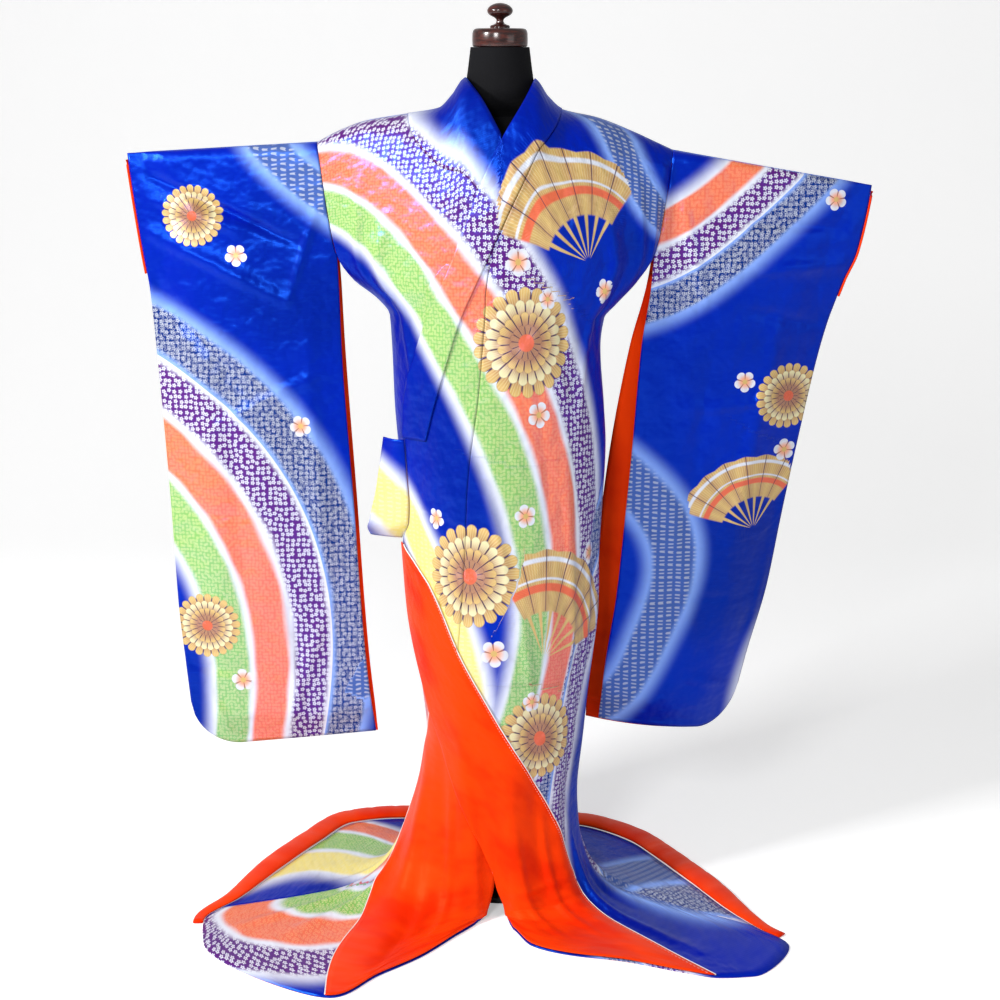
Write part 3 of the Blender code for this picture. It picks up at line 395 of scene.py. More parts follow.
# Creases of each sleeve layer: from one reach and height to another
Crease = namedtuple("Crease", "reach height end_reach end_height width depth")
SLEEVE_CREASES = {
    "right_front": [
        Crease(0.610, 1.200, 0.330, 1.060, 0.0124, 0.0080),
        Crease(0.590, 1.120, 0.420, 0.900, 0.0136, -0.0060),
        Crease(0.290, 0.960, 0.520, 0.840, 0.0112, 0.0045),
        Crease(0.300, 0.560, 0.380, 0.300, 0.0124, 0.0050),
        Crease(0.380, 0.620, 0.340, 0.330, 0.0087, -0.0040),
        Crease(0.590, 1.285, 0.330, 1.165, 0.0080, -0.0105),
        Crease(0.585, 1.245, 0.420, 1.185, 0.0087, 0.0067),
        Crease(0.560, 0.705, 0.390, 0.695, 0.0080, -0.0030),
        Crease(0.575, 0.425, 0.420, 0.412, 0.0080, -0.0033),
        Crease(0.330, 1.050, 0.300, 0.560, 0.0149, 0.0053),
        Crease(0.470, 0.980, 0.440, 0.500, 0.0174, -0.0045),
        Crease(0.520, 0.390, 0.480, 0.290, 0.0087, 0.0045),
        Crease(0.300, 1.240, 0.360, 1.060, 0.0080, 0.0045),
    ],
    "right_back": [
        Crease(0.560, 1.060, 0.320, 0.980, 0.0112, 0.0060),
        Crease(0.340, 0.860, 0.420, 0.400, 0.0124, 0.0050),
        Crease(0.560, 1.260, 0.360, 1.120, 0.0087, -0.0060),
        Crease(0.540, 0.700, 0.300, 0.690, 0.0080, -0.0030),
        Crease(0.400, 1.020, 0.370, 0.480, 0.0161, 0.0048),
        Crease(0.500, 0.880, 0.480, 0.420, 0.0149, -0.0042),
    ],
    "left_front": [
        Crease(0.600, 1.130, 0.350, 1.120, 0.0124, 0.0070),
        Crease(0.570, 1.020, 0.400, 1.060, 0.0112, -0.0055),
        Crease(0.540, 0.900, 0.300, 0.880, 0.0099, 0.0045),
        Crease(0.300, 0.720, 0.350, 0.420, 0.0124, 0.0050),
        Crease(0.500, 0.660, 0.440, 0.360, 0.0112, 0.0050),
        Crease(0.585, 1.190, 0.330, 1.210, 0.0087, -0.0067),
        Crease(0.500, 0.735, 0.350, 0.745, 0.0080, -0.0033),
        Crease(0.450, 0.530, 0.240, 0.535, 0.0080, -0.0030),
        Crease(0.420, 0.350, 0.330, 0.385, 0.0080, 0.0033),
        Crease(0.480, 1.060, 0.400, 0.560, 0.0174, 0.0053),
        Crease(0.360, 0.980, 0.300, 0.440, 0.0149, -0.0045),
        Crease(0.300, 1.240, 0.350, 1.060, 0.0080, 0.0045),
    ],
    "left_back": [
        Crease(0.540, 1.040, 0.300, 0.980, 0.0112, 0.0060),
        Crease(0.300, 0.840, 0.360, 0.400, 0.0124, 0.0050),
        Crease(0.540, 1.180, 0.340, 1.130, 0.0087, -0.0060),
        Crease(0.480, 0.740, 0.280, 0.730, 0.0080, -0.0030),
        Crease(0.400, 1.000, 0.340, 0.480, 0.0161, 0.0045),
    ],
}

Pull = namedtuple("Pull", "level out back")
HIP_CLEAR = 0.0022
HIP_PULL = [
    Pull(0.846, 0.036, 0.020),
    Pull(0.77, 0.052, 0.024),
    Pull(0.69, 0.068, 0.026),
    Pull(0.665, 0.056, 0.024),
]

ROLL_HALF_WIDTH = 0.023
ROLL_HEIGHT = 0.014
ROLL_TIP = 0.40
ROLL_GROWTH = 30.0
ROLL_START = 82.5
ROLL_STEP = 1.25
ROLL_FLAT = 0.75

# Dress form: rings from the bottom up

Ring = namedtuple("Ring", "z half_x half_y")
TORSO = [
    Ring(0.7000, 0.110, 0.070),
    Ring(0.7100, 0.135, 0.090),
    Ring(0.7400, 0.150, 0.103),
    Ring(0.8100, 0.157, 0.109),
    Ring(0.8800, 0.154, 0.106),
    Ring(0.9500, 0.134, 0.095),
    Ring(1.0100, 0.122, 0.088),
    Ring(1.0700, 0.130, 0.091),
    Ring(1.1400, 0.148, 0.096),
    Ring(1.2200, 0.160, 0.090),
    Ring(1.2800, 0.168, 0.072),
    Ring(1.3200, 0.172, 0.050),
    Ring(1.3560, 0.168, 0.026),
    Ring(1.3690, 0.152, 0.022),
    Ring(1.3740, 0.134, 0.018),
    Ring(1.3782, 0.114, 0.019),
    Ring(1.3825, 0.094, 0.024),
    Ring(1.3920, 0.076, 0.034),
    Ring(1.4040, 0.062, 0.042),
    Ring(1.4200, 0.0575, 0.047),
    Ring(1.4400, 0.0540, 0.046),
    Ring(1.4855, 0.0480, 0.045),
]
Turning = namedtuple("Turning", "z radius")
CAP_PROFILE = [
    Turning(1.4858, 0.0420),
    Turning(1.4864, 0.0438),
    Turning(1.4880, 0.0449),
    Turning(1.4980, 0.0452),
    Turning(1.5070, 0.0449),
    Turning(1.5108, 0.0440),
    Turning(1.5134, 0.0420),
    Turning(1.5146, 0.0392),
    Turning(1.5150, 0.0360),
]
FINIAL_PROFILE = [
    Turning(1.5153, 0.0160),
    Turning(1.5180, 0.0163),
    Turning(1.5196, 0.0150),
    Turning(1.5208, 0.0105),
    Turning(1.5230, 0.0068),
    Turning(1.5262, 0.0056),
    Turning(1.5290, 0.0062),
    Turning(1.5316, 0.0090),
    Turning(1.5336, 0.0135),
    Turning(1.5362, 0.0180),
    Turning(1.5395, 0.0203),
    Turning(1.5430, 0.0209),
    Turning(1.5465, 0.0195),
    Turning(1.5500, 0.0160),
    Turning(1.5527, 0.0108),
    Turning(1.5541, 0.0055),
    Turning(1.5546, 0.0012),
]
BASE_PROFILE = [
    Turning(0.0000, 0.0975),
    Turning(0.0012, 0.1005),
    Turning(0.0035, 0.1018),
    Turning(0.0110, 0.1018),
    Turning(0.0150, 0.0985),
    Turning(0.0180, 0.0900),
    Turning(0.0200, 0.0600),
    Turning(0.0214, 0.0400),
    Turning(0.0219, 0.0290),
]

# Decoration of the satin, by place on the flat cloth: bands of mist, and embroidered fans and flowers.
# A strip has its own colour, the colours of its marks and of its edge, and a share of each kind of mark.
# A band is a ring of strips round a centre. Its strips follow one another in the order of the table.

Strip = namedtuple("Strip", "colour accent edge rings blossoms dashes")
STRIPS = [
    Strip("yellow", "cream", "white", 0.15, 0.00, 0.40),
    Strip("green", "cream", "white", 0.50, 0.00, 0.00),
    Strip("orange", "peach", "white", 0.45, 0.00, 0.00),
    Strip("violet", "white", "white", 0.00, 0.85, 0.00),
    Strip("navy", "grey", "haze", 0.45, 0.60, 0.00),
    Strip("silver", "grey", "haze", 0.00, 0.00, 0.75),
]
STRIP_NAMES = [strip.colour for strip in STRIPS]
THREADS = ("peach", "grey", "white", "haze", "cream", "gold", "brown", "dark")
SMALL_MARKS = 165.0
LARGE_MARKS = 108.0
DASH_WAVE = 300.0
DASH_ROWS = 780.0
DASH_BREAKS = 420.0
HALO = (-0.030, 0.006)

# Number by which the satin tells a motif: blossoms have a layer of their own, so they may share one
MOTIF_NUMBERS = {"chrysanthemum": 1, "fan": 2, "blossom": 1}
Band = namedtuple("Band", "first count x y radius width growth")
Motif = namedtuple("Motif", "kind x y size turn")
Design = namedtuple("Design", "bands motifs blossoms")
DESIGNS = {
    "front": Design(
        [
            Band("green", 3, -0.72, 0.56, 0.74, 0.070, 0.20),
            Band("silver", 1, 0.62, 1.52, 0.34, 0.085, 0.15),
            Band("violet", 2, 0.84, 0.16, 0.66, 0.070, 0.15),
            Band("orange", 1, -0.66, 0.30, 0.38, 0.105, 0.10),
            Band("yellow", 1, -0.66, 0.30, 0.56, 0.080, 0.10),
            Band("navy", 2, 0.80, 0.16, 0.20, 0.160, 0.10),
        ],
        [
            Motif("fan", 0.140, 1.240, 0.125, -0.35),
            Motif("chrysanthemum", 0.045, 1.020, 0.092, 0.10),
            Motif("chrysanthemum", -0.055, 0.625, 0.092, 0.20),
            Motif("fan", 0.125, 0.560, 0.118, 0.45),
            Motif("chrysanthemum", 0.080, 0.330, 0.085, 0.00),
            Motif("chrysanthemum", -0.520, -0.110, 0.065, 0.30),
        ],
        [
            Motif("blossom", 0.030, 1.150, 0.024, 0.3),
            Motif("blossom", 0.085, 1.090, 0.019, 0.9),
            Motif("blossom", 0.215, 1.100, 0.021, 0.5),
            Motif("blossom", 0.070, 0.900, 0.024, 0.1),
            Motif("blossom", 0.045, 0.730, 0.022, 0.7),
            Motif("blossom", -0.010, 0.490, 0.026, 0.2),
            Motif("blossom", 0.060, 0.400, 0.020, 0.8),
            Motif("blossom", -0.130, 0.720, 0.020, 0.4),
            Motif("blossom", 0.210, 0.650, 0.022, 0.6),
        ],
    ),
    "back": Design(
        [
            Band("green", 4, 0.80, 0.62, 0.66, 0.070, 0.20),
            Band("silver", 1, -0.62, 1.48, 0.36, 0.080, 0.15),
            Band("yellow", 3, -0.84, 0.10, 0.52, 0.070, 0.15),
            Band("navy", 2, 0.86, -0.10, 0.34, 0.110, 0.10),
        ],
        [
            Motif("fan", -0.030, 1.245, 0.125, 0.25),
            Motif("chrysanthemum", -0.170, 1.020, 0.085, 0.10),
            Motif("chrysanthemum", 0.120, 0.560, 0.090, 0.20),
            Motif("fan", -0.040, 0.660, 0.095, -0.40),
            Motif("chrysanthemum", -0.050, 0.120, 0.095, 0.00),
            Motif("fan", 0.200, 0.160, 0.100, 0.50),
        ],
        [
            Motif("blossom", 0.110, 1.140, 0.024, 0.3),
            Motif("blossom", -0.060, 1.060, 0.022, 0.9),
            Motif("blossom", 0.060, 0.700, 0.024, 0.5),
            Motif("blossom", 0.020, 0.480, 0.022, 0.1),
            Motif("blossom", 0.080, 0.260, 0.026, 0.7),
            Motif("blossom", -0.150, 0.240, 0.024, 0.2),
        ],
    ),
    "right sleeve": Design(
        [
            Band("green", 4, -1.02, 0.36, 0.52, 0.068, 0.20),
            Band("silver", 1, -0.08, 1.52, 0.32, 0.075, 0.15),
            Band("silver", 1, -0.10, 0.12, 0.27, 0.075, 0.15),
        ],
        [
            Motif("chrysanthemum", -0.510, 1.215, 0.052, 0.10),
            Motif("chrysanthemum", -0.515, 0.500, 0.060, 0.20),
        ],
        [
            Motif("blossom", -0.440, 1.150, 0.020, 0.3),
            Motif("blossom", -0.455, 0.400, 0.022, 0.8),
            Motif("blossom", -0.340, 0.860, 0.020, 0.5),
        ],
    ),
    "left sleeve": Design(
        [
            Band("orange", 3, 0.18, 1.52, 0.30, 0.066, 0.20),
            Band("yellow", 3, 0.92, 0.22, 0.28, 0.066, 0.20),
            Band("silver", 1, 0.02, 0.56, 0.24, 0.085, 0.15),
        ],
        [
            Motif("chrysanthemum", 0.500, 0.900, 0.060, 0.10),
            Motif("fan", 0.430, 0.720, 0.085, -0.30),
        ],
        [
            Motif("blossom", 0.420, 0.930, 0.020, 0.3),
            Motif("blossom", 0.500, 0.800, 0.022, 0.8),
            Motif("blossom", 0.560, 1.240, 0.020, 0.5),
        ],
    ),
}
MIST_WAVE = 0.009
MOTIF_REACH = 1.2

# Rings of petals of a chrysanthemum, from its rim inward, and coloured arcs across a fan's leaf
Petals = namedtuple("Petals", "rim count thread phase")
PETAL_RINGS = [
    Petals(1.00, 22.0, "gold", 0.0),
    Petals(0.78, 22.0, "cream", math.pi / 2),
    Petals(0.56, 18.0, "gold", 0.0),
    Petals(0.34, 14.0, "brown", math.pi / 2),
]
PETAL_DEPTH = 0.16
Arc = namedtuple("Arc", "inner outer soft thread")
FAN_ARCS = [
    Arc(0.60, 0.67, 0.010, "orange"),
    Arc(0.70, 0.72, 0.008, "white"),
    Arc(0.86, 0.90, 0.010, "white"),
]
FAN_PIVOT = 0.78
FAN_LENGTH = 1.70
FAN_HALF_ANGLE = 0.98
FAN_PLEATS = 7.0

# Threads of the weave, in radians a metre, and how much embroidery shines
WARP = 5200.0
WEFT = 2600.0
WEFT_SLANT = 900.0
SLUB_STRETCH = (14.0, 120.0, 1.0)
GOLD_METAL = 0.30
GOLD_ROUGHNESS = 0.08

# Flat cut of each sheet: width and length in metres, area in square metres, and how it is held
Cut = namedtuple("Cut", "width length area held rests_on")
CUTS = {
    "cloth_back_left": Cut(0.40, 1.55, 0.390, "draped", ("form_torso",)),
    "cloth_back_right": Cut(0.42, 1.55, 0.410, "draped", ("form_torso",)),
    "cloth_front_left": Cut(0.48, 1.60, 0.490, "draped", ("form_torso",)),
    "cloth_front_right": Cut(0.56, 1.60, 0.545, "draped", ("form_torso",)),
    "cloth_okumi_left": Cut(0.15, 0.90, 0.100, "draped", ("front_right",)),
    "cloth_collar_left": Cut(0.065, 0.75, 0.0487, "draped", ("front_left",)),
    "cloth_collar_right": Cut(0.083, 0.75, 0.0622, "draped", ("front_right",)),
    "cloth_turned_left": Cut(0.21, 0.90, 0.120, "folded", ("front_left",)),
    "cloth_turned_right": Cut(0.24, 0.72, 0.128, "folded", ("front_right",)),
    "cloth_hip_fold": Cut(0.065, 0.185, 0.0120, "folded", ("okumi_left",)),
    "cloth_sleeve_left_front": Cut(0.33, 1.03, 0.320, "hung", ("front_left",)),
    "cloth_sleeve_left_back": Cut(0.34, 1.03, 0.335, "hung", ("back_left",)),
    "cloth_sleeve_right_front": Cut(0.335, 1.03, 0.338, "hung", ("front_right",)),
    "cloth_sleeve_right_back": Cut(0.335, 1.03, 0.338, "hung", ("back_right",)),
    "cloth_sleeve_lining": Cut(0.085, 0.80, 0.067, "hung", ("sleeve_left_back",)),
}

# Backdrop and lamps of the stage: each lamp aims at a height on the axis of the form
SWEEP_HALF = 9.0
SWEEP_START = 2.2
SWEEP_BEND = 2.5
SWEEP_RISE = 5.0
Lamp = namedtuple("Lamp", "name x y z aim size power")
LAMPS = [
    Lamp("key", -2.6, -1.5, 2.4, 0.75, 0.5, 105.0),
    Lamp("front", -0.9, -3.0, 2.2, 0.80, 0.7, 42.0),
    Lamp("fill", 2.6, -2.6, 1.2, 0.70, 1.8, 12.0),
]

# Halves of the body, as the first and last angle of each
FRONT = (-90.0, 90.0)
BACK = (90.0, 270.0)

# How finely each sheet is divided
Grid = namedtuple("Grid", "across down")
GRIDS = {
    "back": Grid(70, 180),
    "front": Grid(92, 200),
    "okumi": Grid(32, 130),
    "collar": Grid(16, 120),
    "turned edge": Grid(34, 120),
    "hip fold": Grid(14, 40),
    "sleeve": Grid(84, 190),
    "sleeve lining": Grid(12, 90),
}
FORM_ROWS = 150
PIPING_STEPS = 110
WRIST_STEPS = 24
ROLL_SIDES = 28

TURNED_FLAT = Vector((0.25, 1.20))
TRAIN_SPREAD = 1.3
TRAIN_LENGTH = 0.62
HIP_FLAT = -0.22
ANGLE_STEP = 0.4
LEVEL_STEP = 0.0015
CREASE_TOP = 1.36
RIPPLE_SIZE = 0.11
RIPPLE_TALL = 1.8
RIPPLE_DEPTH = 0.0016
SLEEVE_RIPPLE = Vector((9.0, 4.0, 5.0))
SLEEVE_RIPPLE_DEPTH = 0.0022
FLOOR_CLEAR = 0.001
PIPING_LIFT = 0.0004
PIPING_RADIUS = 0.0012
OKUMI_SEAM_ANGLE = 0.2
SEAM_RUN_OUT = 0.012
MERGE = 0.00005
TUBE_FLAT = 0.01
ROLL_CLEAR = 0.0002
FINE_MERGE = 0.00002


class Curve:
    """One column of a table as a smooth curve that keeps each rise and fall of the rows."""

    def __init__(self, rows, column):
        pairs = sorted((row[0], getattr(row, column)) for row in rows)
        self.keys = [pair[0] for pair in pairs]
        self.values = [pair[1] for pair in pairs]
        spans = [b - a for a, b in zip(self.keys, self.keys[1:])]
        slopes = [(b - a) / span for a, b, span in zip(self.values, self.values[1:], spans)]
        middle = [self.tangent(a, b) for a, b in zip(slopes, slopes[1:])]
        self.tangents = [slopes[0]] + middle + [slopes[-1]]

    @staticmethod
    def tangent(before, after):
        if before * after <= 0.0:
            return 0.0
        return 2.0 * before * after / (before + after)

    def __call__(self, key):
        key = min(max(key, self.keys[0]), self.keys[-1])
        i = min(max(bisect_right(self.keys, key) - 1, 0), len(self.keys) - 2)
        span = self.keys[i + 1] - self.keys[i]
        t = (key - self.keys[i]) / span
        start, end = self.values[i], self.values[i + 1]
        leave, arrive = self.tangents[i] * span, self.tangents[i + 1] * span
        return (
            start * (2 * t**3 - 3 * t**2 + 1)
            + leave * (t**3 - 2 * t**2 + t)
            + end * (3 * t**2 - 2 * t**3)
            + arrive * (t**3 - t**2)
        )


def columns(rows):
    """All the columns of a table but its key, as curves by name."""
    return {name: Curve(rows, name) for name in rows[0]._fields[1:]}


BODY_CURVES = columns(BODY)
RIDGE_CURVES = columns(RIDGE)
DESCENT_CURVES = columns(DESCENT)
HEM_CURVES = columns(HEM_LINE)


def ramp(value, start, end):
    """0 at start, 1 at end, smooth between them."""
    t = min(max((value - start) / (end - start), 0.0), 1.0)
    return t * t * (3.0 - 2.0 * t)


def mixed(start, end, share):
    return start + (end - start) * share


def half_width(level, side):
    return BODY_CURVES["left" if side > 0 else "right"](level)


def angle_of(x, level):
    """Front angle of the cloth's chart at a distance from the centre."""
    side = 1 if x > 0 else -1
    share = min(abs(x) / half_width(level, side), 1.0)
    return side * math.degrees(math.asin(share))


def ridge_height(x):
    return RIDGE_CURVES["left" if x > 0 else "right"](abs(x))


def crest(depth_below):
    """Rounding over a top edge, from 0 on the edge to 1 below it."""
    t = 1.0 - min(max(depth_below / CREST, 0.0), 1.0)
    return math.sqrt(max(1.0 - t * t, 0.0))


def fold_lift(folds, angle, level):
    """Height of the folds of one table at a place of the chart."""
    lift = 0.0
    for fold in folds:
        if not fold.bottom < level < fold.top:
            continue
        t = (fold.top - level) / (fold.top - fold.bottom)
        middle = mixed(fold.top_angle, fold.bottom_angle, t)
        away = (angle - middle) / fold.spread
        if abs(away) < FOLD_REACH:
            lift += fold.depth * math.exp(-away * away) * math.sin(math.pi * t) ** FOLD_FADE
    return lift


def press_lift(angle, level):
    """Height of the creases that run across the cloth."""
    lift = 0.0
    for press in PRESSES:
        t = (angle - press.start_angle) / (press.end_angle - press.start_angle)
        if 0.0 < t < 1.0:
            away = (level - mixed(press.start, press.end, t)) / press.width
            if abs(away) < FOLD_REACH:
                lift += press.depth * math.exp(-away * away) * math.sin(math.pi * t) ** FOLD_FADE
    return lift


def ripple(point):
    """Small unevenness of hanging cloth, longer up and down than across."""
    place = (point.x / RIPPLE_SIZE, point.y / RIPPLE_SIZE, point.z / (RIPPLE_SIZE * RIPPLE_TALL))
    return noise.noise(Vector(place)) * RIPPLE_DEPTH


def body_point(angle, level, half):
    """Point of the wrapped surface on its front or back half, without its folds."""
    turn = math.radians(angle)
    side = 1 if math.sin(turn) > 0 else -1
    face = -1 if half is FRONT else 1
    wide = half_width(level, side)
    deep = BODY_CURVES["front" if half is FRONT else "back"](max(level, ANKLE))
    x = wide * math.sin(turn)
    swell = abs(math.cos(turn)) ** BODY_CURVES["pinch"](max(level, ANKLE))
    gape = BODY_CURVES["gape"](max(level, ANKLE))
    if level > UNDERARM:
        t = (level - UNDERARM) / (SHOULDER - UNDERARM)
        top = ridge_height(x)
        z = UNDERARM + (top - UNDERARM) * t
        rounding = max(1.0 - t**SHOULDER_POWER, 0.0) ** (1.0 / SHOULDER_POWER)
        return Vector((x, face * (gape * crest(top - z) + (deep - gape) * swell * rounding), z))
    y = face * (gape + (deep - gape) * swell)
    if level >= ANKLE:
        return Vector((x, y, level))
    step = (ANKLE - level) / (ANKLE - HEM)
    run = DESCENT_CURVES["run"](step) ** (FLARE + FLARE_TILT * math.sin(turn))
    hem_angle = (angle + 180.0) % 360.0 - 180.0
    x += (HEM_CURVES["x"](hem_angle) - x) * run
    y += (HEM_CURVES["y"](hem_angle) - y) * run
    return Vector((x, y, DESCENT_CURVES["height"](step)))


def chart(angle, level, half, out=0.0):
    """Point of the cloth, moved out by its layer, with the folds of the solids and of the cloth."""
    right_of = body_point(max(angle - ANGLE_STEP, half[0]), level, half)
    left_of = body_point(min(angle + ANGLE_STEP, half[1]), level, half)
    above = body_point(angle, min(level + LEVEL_STEP, SHOULDER), half)
    below = body_point(angle, max(level - LEVEL_STEP, HEM), half)
    normal = (below - above).cross(left_of - right_of).normalized()
    point = body_point(angle, level, half)
    lift = fold_lift(FOLDS, angle, level)
    fine = fold_lift(CREASES, angle, level) + press_lift(angle, level) + ripple(point)
    point += normal * (lift + fine * ramp(level, SHOULDER, CREASE_TOP) + out)
    point.z = max(point.z, FLOOR_CLEAR + out)
    return point


def flat_place(angle, level, half):
    """Where a point of the body's cloth lies in its flat cut, for the decoration."""
    section = body_point(angle, max(level, ANKLE), half)
    deep = BODY_CURVES["front" if half is FRONT else "back"](max(level, ANKLE))
    across = section.x + math.copysign(max(deep - abs(section.y), 0.0), section.x)
    down = level
    if level < ANKLE:
        step = (ANKLE - level) / (ANKLE - HEM)
        across *= 1.0 + TRAIN_SPREAD * DESCENT_CURVES["run"](step)
        down = ANKLE - step * TRAIN_LENGTH
    return across, down


def front_layer(angle, level):
    """How far the left front lies out over the right front."""
    return FRONT_LAP * ramp(angle, *LAP_SIDE) * ramp(level, *LAP_TOP) * ramp(level, *LAP_FLOOR)


def mist_at(bands, x, y):
    """Strip and share across it, depth inside the band, and length along it, for the nearest band."""
    nearest = (0.0, -1.0, 0.0)
    for band in bands:
        away = Vector((x - band.x, y - band.y))
        turn = math.atan2(away.y, abs(away.x))
        width = band.width * (1.0 + band.growth * math.sin(turn * 2.0))
        across = away.length - band.radius + MIST_WAVE * math.sin(turn * 5.0 + band.radius * 40.0)
        depth = min(across, band.count * width - across)
        if depth > nearest[1]:
            strip = STRIP_NAMES.index(band.first) + min(max(across / width, 0.0), band.count - 0.001)
            nearest = (strip, depth, turn * band.radius)
    return nearest


def motif_at(motifs, x, y):
    """Place on the nearest motif in units of its size, and its number where the cloth is near it."""
    nearest = min(motifs, key=lambda motif: math.hypot(x - motif.x, y - motif.y) / motif.size)
    away = Vector((x - nearest.x, y - nearest.y)) / nearest.size
    near = MOTIF_NUMBERS[nearest.kind] if away.length < MOTIF_REACH else 0
    away.rotate(Matrix.Rotation(nearest.turn, 2))
    return away.x, away.y, near


# Making pieces


def add_piece(name, bm, looks, replaces=()):
    """Turn a bmesh into a piece that rides on the part."""
    mesh = bpy.data.meshes.new(name)
    bm.to_mesh(mesh)
    bm.free()
    for look in looks:
        mesh.materials.append(look)
    mesh.shade_smooth()
    piece = bpy.data.objects.new(name, mesh)
    bpy.context.collection.objects.link(piece)
    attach(piece, "root")
    if replaces:
        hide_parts(*replaces)
    return piece


def solidify(piece, thickness):
    """Give a sheet its thickness: the outer side, then the lining side."""
    wall = piece.modifiers.new("Thickness", "SOLIDIFY")
    wall.thickness = thickness
    wall.offset = 0.0
    wall.use_even_offset = False
    wall.use_rim = True
    if len(piece.data.materials) > 1:
        wall.material_offset = 1
    return piece


def cloth_sheet(name, grid, place, looks, thickness, replaces=(), design=""):
    """Sheet of cloth: a grid whose points are placed by their shares across and down."""
    bm = bmesh.new()
    bmesh.ops.create_grid(bm, x_segments=GRIDS[grid].across, y_segments=GRIDS[grid].down, size=0.5)
    flat = bm.loops.layers.uv.new("cloth")
    if design:
        layers = {key: bm.verts.layers.float_vector.new(key) for key in ("mist", "motif", "blossom")}
    places = {}
    for vert in bm.verts:
        point, where = place(vert.co.x + 0.5, 0.5 - vert.co.y)
        places[vert] = where
        vert.co = point
        if design:
            vert[layers["mist"]] = mist_at(DESIGNS[design].bands, *where)
            vert[layers["motif"]] = motif_at(DESIGNS[design].motifs, *where)
            vert[layers["blossom"]] = motif_at(DESIGNS[design].blossoms, *where)
    for face in bm.faces:
        for loop in face.loops:
            loop[flat].uv = places[loop.vert]
    piece = add_piece(name, bm, looks, replaces)
    solidify(piece, thickness)
    cut = CUTS.get(name)
    if cut:
        list(cut.rests_on)
    return piece


def tube(name, path, radius, sides, looks, closed=False, replaces=(), section=None):
    """Tube along a path: a grid rolled up, with its seam merged, round unless it has its own section."""
    bm = bmesh.new()
    count = len(path)
    rows = count if closed else count - 1
    bmesh.ops.create_grid(bm, x_segments=sides, y_segments=rows, size=0.5)
    flat = bm.loops.layers.uv.new("cloth")
    places = {}
    for vert in bm.verts:
        i = round((vert.co.y + 0.5) * rows)
        turn = math.tau * (vert.co.x + 0.5)
        here = path[i % count]
        ahead = path[(i + 1) % count] if closed else path[min(i + 1, count - 1)]
        behind = path[(i - 1) % count] if closed else path[max(i - 1, 0)]
        along = (ahead - behind).normalized()
        aside = along.cross(Vector((0.0, 0.0, 1.0)) if abs(along.z) < 0.9 else Vector((0.0, 1.0, 0.0)))
        aside.normalize()
        up = aside.cross(along).normalized()
        if section:
            offset = section(i / rows, turn, aside)
        else:
            offset = aside * math.cos(turn) * radius + up * math.sin(turn) * radius
        places[vert] = (i * TUBE_FLAT, turn * TUBE_FLAT)
        vert.co = here + offset
    for face in bm.faces:
        for loop in face.loops:
            loop[flat].uv = places[loop.vert]
    bmesh.ops.remove_doubles(bm, verts=bm.verts, dist=MERGE)
    if not closed:
        rim = [edge for edge in bm.edges if edge.is_boundary]
        bmesh.ops.holes_fill(bm, edges=rim, sides=0)
    bmesh.ops.recalc_face_normals(bm, faces=bm.faces)
    return add_piece(name, bm, looks, replaces)


def turned_piece(name, profile, look, replaces, steps=96):
    """Turned piece: a profile spun round the stand's axis and closed at its ends."""
    bm = bmesh.new()
    points = [(row.radius, row.z) for row in profile]
    points = [(0.0, profile[0].z)] + points + [(0.0, profile[-1].z)]
    verts = [bm.verts.new((radius, 0.0, z)) for radius, z in points]
    edges = [bm.edges.new(pair) for pair in zip(verts, verts[1:])]
    bmesh.ops.spin(
        bm, geom=verts + edges, cent=(0, 0, 0), axis=(0, 0, 1), angle=math.tau, steps=steps, use_merge=True
    )
    bmesh.ops.remove_doubles(bm, verts=bm.verts, dist=FINE_MERGE)
    bmesh.ops.recalc_face_normals(bm, faces=bm.faces)
    piece = add_piece(name, bm, [look], replaces)
    piece.data.set_sharp_from_angle(angle=math.radians(38.0))
    return piece


# Material tools


def add_node(tree, kind, inputs=(), **settings):
    """Add a node with its settings, its inputs filled by value or by link."""
    item = tree.nodes.new(kind)
    for key, value in settings.items():
        setattr(item, key, value)
    for key, value in inputs:
        if isinstance(value, bpy.types.NodeSocket):
            tree.links.new(value, item.inputs[key])
        else:
            item.inputs[key].default_value = value
    return item


def maths(tree, operation, *values):
    return add_node(tree, "ShaderNodeMath", enumerate(values), operation=operation).outputs[0]


def parts_of(tree, vector):
    """X, Y and Z of a vector."""
    return add_node(tree, "ShaderNodeSeparateXYZ", ((0, vector),)).outputs


def scaled(tree, vector, size):
    item = add_node(tree, "ShaderNodeVectorMath", ((0, vector), ("Scale", size)), operation="SCALE")
    return item.outputs[0]


def clouds(tree, place, scale, detail=2.0, dimensions="2D"):
    """Soft noise by place, from 0 to 1."""
    inputs = (("Vector", place), ("Scale", scale), ("Detail", detail))
    return add_node(tree, "ShaderNodeTexNoise", inputs, noise_dimensions=dimensions).outputs[0]


def smooth_range(tree, value, start, end):
    """0 to 1 between two values, smoothly."""
    limits = (("Value", value), ("From Min", start), ("From Max", end))
    item = add_node(tree, "ShaderNodeMapRange", limits, interpolation_type="SMOOTHSTEP")
    return item.outputs["Result"]


def blend(tree, mask, under, over):
    """One colour over another by a mask."""
    item = add_node(tree, "ShaderNodeMix", (("Factor", mask),), data_type="RGBA")
    for socket, value in ((item.inputs[6], under), (item.inputs[7], over)):
        if isinstance(value, bpy.types.NodeSocket):
            tree.links.new(value, socket)
        else:
            socket.default_value = (*value[:3], 1.0)
    return item.outputs[2]


def new_group(name, inputs, outputs):
    """Shader node group with named sockets."""
    tree = bpy.data.node_groups.new(name, "ShaderNodeTree")
    for label, kind in inputs:
        tree.interface.new_socket(label, in_out="INPUT", socket_type="NodeSocket" + kind)
    for label, kind in outputs:
        tree.interface.new_socket(label, in_out="OUTPUT", socket_type="NodeSocket" + kind)
    return tree, tree.nodes.new("NodeGroupInput").outputs, tree.nodes.new("NodeGroupOutput").inputs


